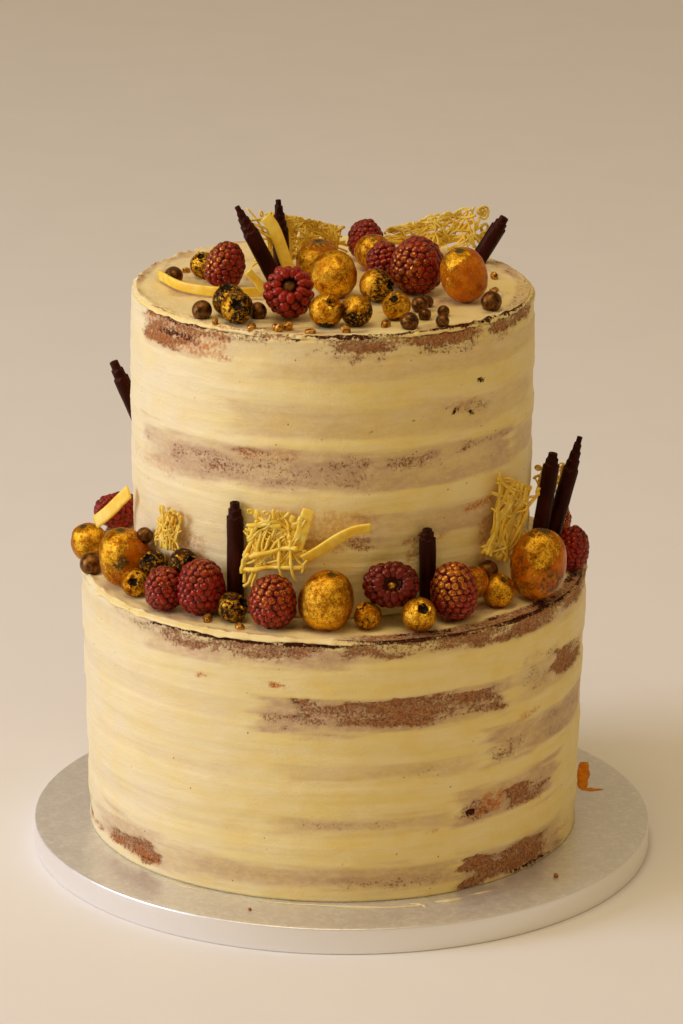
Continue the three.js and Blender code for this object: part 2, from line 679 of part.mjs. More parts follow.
addNode('ledge_nest_front', joined([
  leaningNest({ columns: 3, rows: 3, width: 24, height: 26, seed: 21, wave: 0.8 },
    { angle: -14.6, reach: 86.4, z: 142, lean: -3 }),
  new THREE.Mesh(strip([
    [-18.4, -79.6, 150], [-16, -79.2, 158], [-13.6, -78.8, 166],
  ], 5, TOWARD_FRONT, 3), white),
  new THREE.Mesh(strip([
    [-15.6, -79.8, 146], [-10, -80.4, 149.5], [-2.3, -80.6, 155], [4, -80.2, 158], [10.4, -79.4, 159],
  ], 5, [0, -1, -0.6], 7), white),
]));
addNode('ledge_nest_left', leaningNest(
  { columns: 2, rows: 2, width: 13, height: 13, seed: 31, wave: 0.8 },
  { angle: -49.6, reach: 84.8, z: 143.4, lean: -4 },
));
addNode('ledge_nest_right', leaningNest(
  { columns: 3, rows: 4, width: 20, height: 33, seed: 41, wave: 0.9 },
  { angle: 54.5, reach: 85.4, z: 139, lean: -3, tip: 24 },
));
addNode('ledge_nest_far_right', standingNest(
  { columns: 2, rows: 2, width: 15, height: 12, seed: 51, wave: 0.9 },
  { x: 86, y: 32, z: 139, turn: 0, lean: 0 },
));
addNode('ledge_strip', new THREE.Mesh(strip(
  [[-100.4, -8, 137.6], [-96, -10.5, 142], [-91, -14, 148], [-86.4, -19, 154]], 5.6, [-0.5, -1, 0.6], 4,
), white));

export default cake;
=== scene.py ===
"""The looks of a two-tier naked wedding cake on a drum board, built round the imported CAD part.

Lengths are in millimetres until a mesh is made, and +Z is up. Angles are in degrees round the cake:
0 is the front, which faces -Y, and the right is positive. Depths are measured down from a tier's top.
"""
import math

import bpy
import numpy as np
from mathutils import Matrix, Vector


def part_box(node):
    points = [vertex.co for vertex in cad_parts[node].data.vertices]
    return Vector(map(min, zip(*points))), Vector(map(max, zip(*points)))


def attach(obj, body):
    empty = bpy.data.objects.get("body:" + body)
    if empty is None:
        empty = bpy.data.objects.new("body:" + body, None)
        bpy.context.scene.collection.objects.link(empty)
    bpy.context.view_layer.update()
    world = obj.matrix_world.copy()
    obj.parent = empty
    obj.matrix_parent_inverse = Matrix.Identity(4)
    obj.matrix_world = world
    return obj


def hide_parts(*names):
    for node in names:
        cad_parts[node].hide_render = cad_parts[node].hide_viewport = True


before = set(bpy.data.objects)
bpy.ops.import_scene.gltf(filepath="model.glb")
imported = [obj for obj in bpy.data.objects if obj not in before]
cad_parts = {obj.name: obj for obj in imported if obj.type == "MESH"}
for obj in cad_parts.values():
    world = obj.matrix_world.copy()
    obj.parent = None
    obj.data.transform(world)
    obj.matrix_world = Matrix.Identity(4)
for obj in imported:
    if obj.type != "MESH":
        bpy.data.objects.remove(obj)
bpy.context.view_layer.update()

MM = 0.001

# Board
BOARD_RADIUS = 127.0
BOARD_THICKNESS = 10.7
BOARD_EDGE = 0.7
BOARD_SEGMENTS = 288

# Tiers, as in the part's source
LOWER = {
    "name": "lower", "centre": (-4.0, 1.0), "bottom": 11.0, "top": 120.0,
    "base_radius": 100.2, "top_radius": 102.3, "belly": 0.2, "phase": 0.4, "seed": 3,
    "sponges": [(3.6, 10.6), (26.5, 35.6), (46.5, 61.0), (75.0, 85.6), (98.7, 109.0)],
}
UPPER = {
    "name": "upper", "centre": (-5.0, 6.0), "bottom": 120.6, "top": 234.0,
    "base_radius": 79.6, "top_radius": 79.6, "belly": 0.7, "phase": 2.1, "seed": 8,
    "sponges": [(3.6, 10.4), (31.5, 42.5), (51.0, 63.0), (82.0, 92.0)],
}

# Points on a tier: round it, up its side, over its top and up a sponge
COLUMNS = 480
SIDE_ROWS = 136
TOP_RINGS = 44
SPONGE_ROWS = 9

# Relief of a tier
SWAY = 0.5
COAT = 0.45
PALETTE_SWEEP = 0.55
DABS = 0.4
SCRAPE_DEPTH = 0.9
SCORCH_DEPTH = 0.5
LAYER_STEP = 0.5
LAYER_BLEND = 1.2
SPONGE_INSET = 1.15
SPONGE_ROUGHNESS = 1.1
SPONGE_REACH = 6.0

# The lip of icing at a tier's rim, from the side up to the top
LIP_HEIGHT = 2.0
LIP_BULGE = (0.0, 0.12, 0.75, 1.0, 1.0, 0.9, 0.7, 0.4, 0.0)
LIP_ROWS = len(LIP_BULGE) - 1
LIP_INSET = 0.45
OVERHANG = 1.25
WAVER = 1.1
BURR = 0.8
RIM_INSET = 1.05
SHOULDER_DROP = 1.1

# Levels that the part's fruit stands on, just over the icing, and how far the fruit here sinks from them
LEDGE_LEVEL = 120.6
TOP_LEVEL = 234.6
FRUIT_SINK = 0.7

# Camera, fitted to the photo's frame of 683 by 1024
CAMERA_PLACE = (-1.04, -1743.01, 691.93)
CAMERA_PITCH = 17.563
CAMERA_ROLL = 0.441
CAMERA_LENS = 158.4
SENSOR = 36.0


def linear(colour):
    """A hex colour as linear red, green, blue and 1."""
    parts = [int(colour[i:i + 2], 16) / 255 for i in (1, 3, 5)]
    return [p / 12.92 if p <= 0.04045 else ((p + 0.055) / 1.055) ** 2.4 for p in parts] + [1.0]


# Numbers: smooth random fields

def lattice(i, j, seed):
    """A repeatable number from 0 to 1 for each pair of whole numbers."""
    n = (i * 374761393 + j * 668265263 + seed * 974711) & 0xFFFFFFFF
    n = ((n ^ (n >> 13)) * 1274126177) & 0xFFFFFFFF
    return ((n ^ (n >> 16)) & 0xFFFF) / 65535.0


def field(u, v, seed, cells=None):
    """Value noise from 0 to 1 at u, v in cells. With a count of cells it repeats round u."""
    i, j = np.floor(u).astype(np.int64), np.floor(v).astype(np.int64)
    fu, fv = u - i, v - j
    fu, fv = fu * fu * (3 - 2 * fu), fv * fv * (3 - 2 * fv)
    near, far = (i % cells, (i + 1) % cells) if cells else (i, i + 1)
    low = lattice(near, j, seed) * (1 - fu) + lattice(far, j, seed) * fu
    high = lattice(near, j + 1, seed) * (1 - fu) + lattice(far, j + 1, seed) * fu
    return low * (1 - fv) + high * fv


def round_field(angle, height, long, tall, seed, octaves=3):
    """Noise on a tier's side or top. Long, the way round, and tall are its size in millimetres."""
    total, weight, share = 0.0, 0.0, 1.0
    for octave in range(octaves):
        cells = max(4, int(640 / long * 2 ** octave))
        rows = height / tall * 2 ** octave
        total = total + share * field(angle / 360 * cells, rows, seed + octave, cells)
        weight += share
        share *= 0.55
    return total / weight


def lumps(points, size, seed, waves=7):
    """Soft lumps from -1 to 1 in space, a lump being about the given size."""
    random = np.random.default_rng(seed)
    total = np.zeros(len(points))
    for _ in range(waves):
        way = random.normal(size=3)
        way /= np.linalg.norm(way)
        along = points @ way * (math.pi / size) * random.uniform(0.7, 1.4)
        total += np.sin(along + random.uniform(0, 6.3))
    return total / math.sqrt(waves) / 1.2


def step(low, high, value):
    """0 under low, 1 over high, smooth between."""
    t = np.clip((value - low) / (high - low), 0, 1)
    return t * t * (3 - 2 * t)


# Meshes

def grid_faces(rows, columns):
    """Quads of a grid of points, row after row, closed round each row."""
    i, j = np.meshgrid(np.arange(rows - 1), np.arange(columns), indexing="ij")
    a, b = i * columns + j, i * columns + (j + 1) % columns
    return np.stack([a, b, b + columns, a + columns], -1).reshape(-1, 4)


def end_caps(rows, columns):
    """The faces that close the first and the last row of a grid."""
    return [tuple(range(columns))[::-1], tuple(range((rows - 1) * columns, rows * columns))]


class Shape:
    """Points, faces and named numbers at the points, to which more shapes can be added."""

    def __init__(self, points=(), faces=(), marks=None):
        self.points = np.asarray(points, float).reshape(-1, 3)
        self.faces = [tuple(f) for f in faces]
        self.marks = dict(marks or {})

    def add(self, other):
        start = len(self.points)
        for name in set(self.marks) | set(other.marks):
            mine = self.marks.get(name, np.zeros(start))
            theirs = other.marks.get(name, np.zeros(len(other.points)))
            self.marks[name] = np.concatenate([mine, theirs])
        self.points = np.concatenate([self.points, other.points])
        self.faces += [tuple(i + start for i in f) for f in other.faces]
        return self

    def moved(self, turn=None, shift=(0, 0, 0)):
        points = self.points if turn is None else self.points @ np.asarray(turn).T
        return Shape(points + np.asarray(shift), self.faces, self.marks)


def piece(name, shape, material, nodes=()):
    """Makes a shape a piece of the cake, which stands for the named CAD nodes."""
    mesh = bpy.data.meshes.new(name)
    mesh.from_pydata((shape.points * MM).tolist(), [], [tuple(int(i) for i in f) for f in shape.faces])
    for mark, values in shape.marks.items():
        attribute = mesh.attributes.new(mark, "FLOAT", "POINT")
        attribute.data.foreach_set("value", np.asarray(values, np.float32))
    mesh.polygons.foreach_set("use_smooth", [True] * len(mesh.polygons))
    mesh.materials.append(material)
    mesh.update()
    made = bpy.data.objects.new(name, mesh)
    bpy.context.scene.collection.objects.link(made)
    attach(made, "root")
    if nodes:
        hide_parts(*nodes)


def turned(axis, degrees):
    """The turn by an angle about x, y or z."""
    c, s = math.cos(math.radians(degrees)), math.sin(math.radians(degrees))
    i, j = {"x": (1, 2), "y": (2, 0), "z": (0, 1)}[axis]
    made = np.eye(3)
    made[i, i] = made[j, j] = c
    made[i, j], made[j, i] = -s, s
    return made


def upright_to(way):
    """The turn that takes +Z to a direction."""
    way = np.asarray(way, float) / np.linalg.norm(way)
    side = np.cross([0, 0, 1], way)
    if np.linalg.norm(side) < 1e-6:
        return np.eye(3) * (1, 1, math.copysign(1, way[2]))
    side /= np.linalg.norm(side)
    return np.stack([side, np.cross(way, side), way], 1)


def around(centre, angle, reach):
    """The x and y of a place at an angle round a centre."""
    turn = math.radians(angle)
    return centre[0] + reach * math.sin(turn), centre[1] - reach * math.cos(turn)


def lathe(profile, segments):
    """A surface of revolution about +Z through [radius, height] points, from the bottom up."""
    turn = np.arange(segments) / segments * 2 * math.pi
    rows = [np.stack([r * np.sin(turn), -r * np.cos(turn), np.full(segments, z)], 1) for r, z in profile]
    return Shape(np.concatenate(rows), grid_faces(len(profile), segments))


def ball_shape(radii, segments, rings):
    """An ellipsoid with the given half sizes, closed by small caps at its poles."""
    slopes = [math.pi * (i + 0.02) / (rings + 0.04) for i in range(rings + 1)]
    made = lathe([(math.sin(a), -math.cos(a)) for a in slopes], segments)
    made.points *= np.asarray(radii)
    made.faces += end_caps(rings + 1, segments)
    return made


def tube(path, radius, sides, flat, out=(0, -1, 0)):
    """A closed tube along a path. Flat squeezes it along the given outward direction."""
    path = np.asarray(path, float)
    radii = np.broadcast_to(radius, len(path))
    along = np.gradient(path, axis=0)
    along /= np.linalg.norm(along, axis=1, keepdims=True) + 1e-9
    side = np.cross(along, np.asarray(out, float))
    side /= np.linalg.norm(side, axis=1, keepdims=True) + 1e-9
    up = np.cross(side, along)
    turn = (np.arange(sides) + 0.5) / sides * 2 * math.pi
    ring = side[:, None] * np.cos(turn)[None, :, None] + up[:, None] * (flat * np.sin(turn))[None, :, None]
    points = (path[:, None] + ring * radii[:, None, None]).reshape(-1, 3)
    made = Shape(points, grid_faces(len(path), sides))
    made.faces += end_caps(len(path), sides)
    return made


def smooth_path(points, count):
    """A Catmull-Rom curve through points, as evenly many points as asked for."""
    points = np.asarray(points, float)
    ends = np.concatenate([[2 * points[0] - points[1]], points, [2 * points[-1] - points[-2]]])
    t = np.linspace(0, len(points) - 1 - 1e-6, count)
    i = t.astype(int)
    f = (t - i)[:, None]
    a, b, c, d = ends[i], ends[i + 1], ends[i + 2], ends[i + 3]
    square = (2 * a - 5 * b + 4 * c - d) * f ** 2
    cube = (3 * b - a - 3 * c + d) * f ** 3
    return 0.5 * (2 * b + (c - a) * f + square + cube)


# Materials

class Recipe:
    """A node material with one principled shader, built by short calls."""

    def __init__(self, name):
        self.material = bpy.data.materials.new(name)
        self.material.use_nodes = True
        self.tree = self.material.node_tree
        self.shader = self.tree.nodes["Principled BSDF"]
        self.place = self.node("ShaderNodeTexCoord").outputs["Object"]

    def node(self, kind, **settings):
        made = self.tree.nodes.new(kind)
        for name, value in settings.items():
            setattr(made, name, value)
        return made

    def put(self, socket, value):
        if isinstance(value, bpy.types.NodeSocket):
            self.tree.links.new(value, socket)
        else:
            socket.default_value = value

    def set(self, **values):
        for name, value in values.items():
            self.put(self.shader.inputs[name.replace("_", " ")], value)

    def mark(self, name):
        return self.node("ShaderNodeAttribute", attribute_name=name).outputs["Fac"]

    def noise(self, size, detail=3.0, rough=0.55, upright=None):
        """Noise whose lumps are about the given size in millimetres, and so many times less in height."""
        place = self.place
        if upright:
            mapping = self.node("ShaderNodeMapping")
            self.put(mapping.inputs["Vector"], place)
            mapping.inputs["Scale"].default_value = (1, 1, upright)
            place = mapping.outputs["Vector"]
        made = self.node("ShaderNodeTexNoise")
        self.put(made.inputs["Vector"], place)
        made.inputs["Scale"].default_value = 1 / (size * MM)
        made.inputs["Detail"].default_value = detail
        made.inputs["Roughness"].default_value = rough
        return made.outputs["Fac"]

    def cells(self, size, feature="F1", output="Distance"):
        made = self.node("ShaderNodeTexVoronoi", feature=feature)
        self.put(made.inputs["Vector"], self.place)
        made.inputs["Scale"].default_value = 1 / (size * MM)
        return made.outputs[output]

    def math(self, operation, a, b, clamp=False):
        made = self.node("ShaderNodeMath", operation=operation, use_clamp=clamp)
        self.put(made.inputs[0], a)
        self.put(made.inputs[1], b)
        return made.outputs[0]

    def plus(self, a, b):
        return self.math("ADD", a, b)

    def times(self, a, b):
        return self.math("MULTIPLY", a, b)

    def ragged(self, value, size, detail, rough, strength):
        """A value whose edges are broken up by fine noise."""
        noise = self.math("SUBTRACT", self.noise(size, detail, rough), 0.5)
        return self.plus(value, self.times(noise, strength))

    def step(self, value, low, high, start=0.0, end=1.0):
        made = self.node("ShaderNodeMapRange", interpolation_type="SMOOTHSTEP")
        for name, number in (("Value", value), ("From Min", low), ("From Max", high),
                             ("To Min", start), ("To Max", end)):
            self.put(made.inputs[name], number)
        return made.outputs["Result"]

    def mix(self, share, a, b):
        made = self.node("ShaderNodeMix", data_type="RGBA")
        self.put(made.inputs["Factor"], share)
        self.put(made.inputs[6], linear(a) if isinstance(a, str) else a)
        self.put(made.inputs[7], linear(b) if isinstance(b, str) else b)
        return made.outputs[2]

    def bump(self, height, deep, below=None):
        """Bumps about deep millimetres high."""
        made = self.node("ShaderNodeBump")
        made.inputs["Distance"].default_value = deep * MM
        self.put(made.inputs["Height"], height)
        if below is not None:
            self.put(made.inputs["Normal"], below)
        self.put(self.shader.inputs["Normal"], made.outputs["Normal"])
        return made.outputs["Normal"]


def tier_side_material(name, bareness):
    """Buttercream, a thin grey veil of it over crumb, and crumb where it is scraped off."""
    r = Recipe(name)
    streaks = r.noise(30, 4, 0.6, 6)
    fine = r.noise(1.1, 4, 0.65)
    colour = r.mix(r.step(streaks, 0.35, 0.68), "#f0db8d", "#f3e1a4")
    colour = r.mix(r.step(r.noise(11, 3), 0.42, 0.72, 0, 0.4), colour, "#ecce6e")
    # Painted light: where the pale mark is high, mostly on the tiers' left where the key light falls, the
    # cream is painted paler; the board's smears carry the mark all over, the tops a little of it
    thick = r.times(r.mark("pale"), r.step(r.noise(15, 4), 0.3, 0.66, 0.4, 0.75))
    colour = r.mix(thick, colour, "#ecdfba")
    veil_noise = r.noise(3.4, 5, 0.66, 1.8)
    veil = r.plus(r.mark("thin"), r.times(r.mark("crumb"), 0.7))
    veil = r.math("MULTIPLY", veil, r.step(veil_noise, 0.25, 0.68, 0.55, 1.0), clamp=True)
    colour = r.mix(veil, colour, "#c8a880")

    scraped = r.plus(r.mark("crumb"), bareness)
    bare = r.step(r.ragged(scraped, 1.2, 6, 0.82, 3.2), 0.5, 0.7, 0, 0.86)
    pores = r.cells(1.4)
    crumb = r.mix(r.step(r.noise(1.7, 5, 0.7), 0.38, 0.62), "#7a3a18", "#b9743f")
    crumb = r.mix(r.step(pores, 0.08, 0.36, 0.9, 0), crumb, "#35150c")
    crumb = r.mix(r.step(r.noise(1.1, 5, 0.8), 0.49, 0.58, 0, 0.75), crumb, "#c9a272")
    crumb = r.mix(r.step(r.noise(6.5, 3), 0.4, 0.7, 0, 0.35), crumb, "#93420f")
    colour = r.mix(bare, colour, crumb)

    stain = r.times(r.mark("stain"), r.step(r.noise(1.6, 5, 0.7), 0.36, 0.62))
    colour = r.mix(stain, colour, "#b86414")
    burnt = r.step(r.ragged(r.mark("dark"), 1.2, 6, 0.82, 2.8), 0.44, 0.64)
    colour = r.mix(burnt, colour, "#481a0a")
    speck = r.cells(6.0)
    kind = r.cells(6.0, output="Color")
    seen = r.times(r.step(speck, 0.04, 0.075, 1, 0), r.step(kind, 0.5, 0.6))
    colour = r.mix(r.times(seen, 0.8), colour, "#7a4f2a")

    dry = r.math("MAXIMUM", bare, burnt)
    r.set(Base_Color=colour, Roughness=r.step(dry, 0, 1, 0.4, 0.88))
    r.set(Subsurface_Weight=0.1, Subsurface_Radius=(1.0, 0.7, 0.35), Subsurface_Scale=1.6 * MM)
    r.set(Specular_IOR_Level=0.3, Specular_Tint=linear("#ffe2b8"))
    swept = r.noise(14, 4, 0.6, 8)
    relief = r.plus(r.times(swept, 0.5), r.times(fine, 0.4))
    below = r.bump(relief, 0.5)
    r.bump(r.times(dry, r.math("SUBTRACT", r.noise(1.0, 4, 0.7), pores)), 0.8, below)
    return r.material


def foil_material():
    """Mottled silver foil, whiter and smoother on the board's side."""
    r = Recipe("silver_foil")
    grain = r.cells(1.6, "SMOOTH_F1")
    mottle = r.noise(4, 5, 0.65)
    top = r.mix(r.step(mottle, 0.35, 0.7), "#e2e3e2", "#f0f0ee")
    top = r.mix(r.step(grain, 0.1, 0.6, 0, 0.35), top, "#d0d0cc")
    r.set(Base_Color=r.mix(r.mark("side"), top, "#efede8"), Metallic=0.62)
    r.set(Roughness=r.step(mottle, 0.3, 0.7, 0.3, 0.42))
    height = r.plus(grain, r.times(r.noise(0.8, 2), 0.5))
    r.bump(r.times(height, r.math("SUBTRACT", 1.0, r.mark("side"))), 0.1)
    return r.material


def gilded_material(name, skin, shade, skin_rough, gloss):
    """A smooth fruit, its skin darker where the mark dusk says so, under torn gold leaf with painted
    reflections in its tone and painted shade in its crinkles.
    """
    r = Recipe(name)
    tone = r.mix(r.step(r.noise(4.5, 3), 0.35, 0.7), skin[0], skin[1])
    tone = r.mix(r.step(r.ragged(r.mark("dusk"), 1.8, 6, 0.76, 2.6), 0.4, 1.0), tone, shade)
    crinkle = r.noise(1.6, 7, 0.78)
    gold = r.step(r.ragged(r.mark("gilt"), 1.4, 6, 0.78, 2.4), 0.46, 0.56)
    # The leaf's tone in random patches, partly its own and partly painted dark and bright reflections
    leaf = r.mix(r.step(r.noise(4, 5, 0.66), 0.34, 0.6), "#a86004", "#ffc234")
    # Painted shade: the leaf painted darker in the valleys of its crinkle bump
    leaf = r.mix(r.step(crinkle, 0.4, 0.47, 0.7, 0), leaf, "#7a3c04")
    leaf = r.mix(r.step(r.noise(0.55, 5, 0.8), 0.53, 0.59, 0, 0.85), leaf, "#2c1002")
    r.set(Base_Color=r.mix(gold, tone, leaf), Metallic=r.times(gold, 0.95))
    r.set(Roughness=r.step(gold, 0, 1, skin_rough, 0.28))
    r.set(Specular_IOR_Level=gloss, Specular_Tint=linear("#ffdcae"))
    r.bump(r.times(gold, r.plus(crinkle, 0.25)), 0.42)
    return r.material


def raspberry_material():
    """Red flesh with painted shade between the drupelets, and gold dust on their crests."""
    flesh, deep = "#920c0d", "#380203"
    r = Recipe("raspberry_flesh")
    # Painted shade: the red is painted deep low on each drupelet and on the core, where the crest mark is
    # low
    red = r.mix(r.step(r.mark("crest"), 0.15, 0.95), deep, flesh)
    red = r.mix(r.step(r.noise(3.5, 3), 0.4, 0.7, 0, 0.5), red, deep)
    dust = r.times(r.plus(r.mark("gilt"), 0.05), r.step(r.mark("crest"), 0.25, 0.8))
    gold = r.step(r.ragged(dust, 0.55, 5, 0.75, 1.9), 0.42, 0.62)
    r.set(Base_Color=r.mix(gold, red, "#c98a2a"), Metallic=r.times(gold, 0.75))
    r.set(Roughness=r.step(gold, 0, 1, 0.2, 0.28), Specular_IOR_Level=0.55, Specular_Tint=linear("#ffc49c"))
    r.set(Subsurface_Weight=0.1, Subsurface_Radius=(1.0, 0.2, 0.15), Subsurface_Scale=1.2 * MM)
    r.bump(r.noise(0.7, 4, 0.7), 0.12)
    return r.material


def bronze_material():
    """Bronze dust, gold where the mark bright says so."""
    r = Recipe("bronze_dust")
    worn = r.noise(2.2, 5, 0.7)
    tone = r.mix(r.step(worn, 0.36, 0.66), "#38200a", "#8c5a1c")
    tone = r.mix(r.times(r.mark("bright"), r.step(r.noise(1.2, 4), 0.35, 0.6)), tone, "#e0a23c")
    r.set(Base_Color=tone, Metallic=0.8, Roughness=r.step(worn, 0.3, 0.7, 0.26, 0.42))
    r.bump(r.noise(1.2, 5, 0.7), 0.18)
    return r.material


def dark_chocolate_material():
    r = Recipe("dark_chocolate")
    cloudy = r.noise(5, 4, 0.6, 0.35)
    tone = r.mix(r.step(cloudy, 0.4, 0.7), "#230703", "#37120a")
    r.set(Base_Color=r.mix(r.step(r.mark("worn"), 0.4, 1.0), tone, "#44201a"), Roughness=0.46)
    r.set(Specular_IOR_Level=0.16, Specular_Tint=linear("#ffb894"))
    r.bump(r.plus(cloudy, r.noise(0.9, 3)), 0.15)
    return r.material


def white_chocolate_material():
    r = Recipe("white_chocolate")
    cloudy = r.noise(3.5, 4, 0.6)
    tone = r.mix(r.step(cloudy, 0.36, 0.68), "#f5c52e", "#fddb5c")
    tone = r.mix(r.times(r.mark("stain"), r.step(r.noise(3.0, 3), 0.38, 0.66)), tone, "#dc9a1e")
    r.set(Base_Color=tone, Roughness=0.4)
    r.set(Subsurface_Weight=0.3, Subsurface_Radius=(1.0, 0.75, 0.3), Subsurface_Scale=3 * MM)
    r.bump(r.noise(1.0, 4, 0.6), 0.15)
    return r.material


def gel_material():
    r = Recipe("orange_gel")
    r.set(Base_Color=r.mix(r.step(r.noise(4, 4), 0.35, 0.65), "#cf7400", "#e89204"))
    r.set(Roughness=0.8, Specular_IOR_Level=0.1)
    r.bump(r.noise(2, 4), 0.3)
    return r.material


def floor_material():
    r = Recipe("pale_floor")
    r.set(Base_Color=r.mix(r.noise(60, 2), "#e8e7e3", "#edece8"), Roughness=0.95)
    r.set(Specular_IOR_Level=0.1)
    return r.material


CREAM = tier_side_material("buttercream", 0.0)
SPONGE = tier_side_material("sponge_crumb", 0.03)
FOIL = foil_material()
RASPBERRY = raspberry_material()
PHYSALIS = gilded_material("physalis_leaf", ("#b25400", "#d07800"), "#463a10", 0.24, 0.35)
BLUEBERRY = gilded_material("blueberry_leaf", ("#150d07", "#33220f"), "#080504", 0.32, 0.15)
BRONZE = bronze_material()
DARK = dark_chocolate_material()
WHITE = white_chocolate_material()
GEL = gel_material()


# The side of the tiers: places where the coat is thin, scraped off, stained or scorched,
# as (from angle, to angle, from depth, to depth, strength)

SCRAPES = {
    "lower": [
        (-60, -40, 1, 6, 0.5), (-42, 2, 1, 9, 1.0), (-28, -2, 3, 12, 0.55), (0, 90, -2, 8, 0.95),
        (20, 80, -3, 5, 1.15), (-9, 41, 25, 36, 1.05), (-16, -6, 30, 34, 0.5), (49, 60, 18, 34, 0.5),
        (60, 79, 22, 34, 1.05), (37, 51, 50, 58.5, 0.85), (50, 82, 46, 58, 0.4), (8, 36, 54, 58.5, 0.34),
        (42, 60, 70.5, 81, 1.1), (29, 40, 72, 80, 0.66), (-8, 26, 75, 80, 0.3), (31, 61, 96, 109, 1.25),
        (-5, 24, 99, 104, 0.42), (-63, -43, 97, 106, 1.0), (-84, -70, 102, 107, 0.8),
        (62, 68, 94, 98, 0.5), (61, 70, 105, 109, 0.6), (112, 160, 1, 9, 0.85), (-152, -108, 1, 9, 0.85),
        (168, 202, 27, 35, 0.8), (-160, -130, 48, 59, 0.75), (145, 177, 75, 84, 0.85),
        (-178, -148, 99, 108, 0.9), (90, 130, 97, 105, 0.5),
    ],
    "upper": [
        (-66, -50, -1, 14, 0.95), (-53, -39, -1, 10, 0.85), (-42, -28, 0, 7, 0.7),
        (-32, -18, 0, 4.5, 0.6), (-16, -6, 0, 4, 0.6), (-6, 74, -1, 6.5, 1.1), (0, 60, 4, 10, 0.5),
        (-52, 12, 50, 61, 0.5), (-26, -8, 46.5, 52, 0.5), (-4, 12, 48.5, 56, 0.55), (14, 33, 48, 57, 0.6),
        (38, 61, 46.5, 50, 0.5), (3, 13, 81, 86, 0.55), (19, 27, 82, 86, 0.6), (36, 50, 31, 36, 0.45),
        (-66, -61, 50, 55, 0.6), (127, 172, 0, 9, 0.85), (-142, -108, 33, 42, 0.75),
        (108, 142, 52, 62, 0.75), (168, 202, 83, 91, 0.8), (-112, -84, 52, 60, 0.5),
    ],
}
THINS = {
    "lower": [
        (-90, -40, 3, 12, 0.25), (-44, 4, 3, 13, 0.8), (0, 90, 4, 10, 0.5), (-16, 42, 24, 39, 0.9),
        (-90, -20, 27, 36, 0.14), (46, 82, 22, 36, 0.45), (36, 86, 43, 59, 1.0), (-10, 36, 51, 59, 0.42),
        (-70, -20, 53, 60, 0.16), (28, 64, 66, 82, 1.0), (-12, 30, 73, 81, 0.5), (-80, -20, 76, 82, 0.16),
        (-70, 31, 94, 105, 0.7), (30, 66, 93, 109, 1.0), (-64, -40, 90, 106, 0.7),
        (100, 260, 27, 36, 0.6), (110, 250, 47, 60, 0.6), (100, 250, 75, 85, 0.6),
        (80, 280, 97, 108, 0.7), (100, 260, 3, 10, 0.6),
    ],
    "upper": [
        (-66, -38, 0, 15, 0.5), (-40, 0, 2, 10, 0.35), (-20, 85, 8, 18, 0.4), (-30, 76, 28, 42, 0.5),
        (-64, 62, 46, 63, 0.9), (-50, 14, 50, 62, 0.7), (8, 50, 72, 84, 0.7), (-75, -28, 74, 100, 0.15),
        (60, 86, 48, 62, 0.6), (90, 270, 30, 42, 0.6), (90, 270, 50, 62, 0.75), (90, 270, 80, 92, 0.6),
        (90, 270, 3, 12, 0.5),
    ],
}
STAINS = {
    "lower": [
        (35, 43, 70, 79, 1.0), (47, 54, 41, 43.5, 0.8), (-64, -44, 102.5, 105.5, 0.7),
        (19, 24, 81.3, 82.6, 0.9), (-30, -27.4, 18, 19.4, 1.6), (-13, -11, 18.6, 19.8, 1.6),
        (50, 74, 101, 103, 0.5), (-84, -70, 103, 107, 0.8),
    ],
    "upper": [
        (-66, -30, -1, 13, 0.75), (-14, 12, 70, 86, 0.42), (40, 54, 72.4, 76, 0.9), (21, 26, 82, 93, 0.7),
        (31, 35, 82, 85, 0.7), (-26, -8, 46, 51, 0.5), (-76, -50, 60, 66, 0.3), (46, 62, 80, 104, 0.6),
        (-48, -38, 86, 98, 0.5), (36, 42, 31, 34, 0.5), (10, 50, 2, 5, 0.4),
    ],
}
SCORCHES = {
    "lower": [
        (-44, -30, 0.8, 2.8, 0.7), (-31, 2, 1.0, 3.2, 0.8), (1, 16, 0.6, 2.4, 0.6),
        (44, 62, 107.4, 109, 0.7), (31, 33.5, 76, 78, 1.1), (37, 44, 51, 56, 0.35),
        (-58, -44, 104.6, 105.6, 0.5), (120, 150, 1, 3, 0.8), (-140, -116, 1, 3, 0.8),
        (4, 84, -1.5, 1.6, 0.75),
    ],
    "upper": [
        (-50, -38, 0.8, 2.8, 0.7), (-11, -8.5, 0.6, 2.4, 0.7), (-2, 4, 0, 2, 0.5),
        (45, 47.4, 22.4, 24.4, 1.1), (56, 58, 24.6, 25.8, 1.0), (36, 38, 32, 35, 0.8),
        (42, 44, 34.8, 36.8, 0.9), (46, 48, 41.6, 42.8, 0.8), (22, 24, 34.6, 35.6, 0.8),
        (10, 12, 37.8, 38.8, 0.8), (-8, 74, -1, 1.6, 0.7), (-65, -50, 0, 3, 0.7), (-60, -42, 6, 9, 0.55),
        (136, 160, 0.8, 2.4, 0.6),
    ],
}


def inside(tier, angle, depth, places, along, down, grain):
    """How far the points are inside any of the places, from 0 to their strength, over ragged borders.

    Along and down are how far it takes from the border to the full strength, in millimetres.
    """
    found = np.zeros(np.shape(angle))
    per_degree = math.radians(1) * tier["top_radius"]
    for start, end, high, low, strength in places:
        half = (end - start) / 2
        off = np.abs((angle - (start + end) / 2 + 180) % 360 - 180)
        across = (half - off) * per_degree / along
        below = np.minimum(depth - high, low - depth) / down
        found = np.maximum(found, strength * step(0, 1, 0.35 + np.minimum(across, below) + grain))
    return found


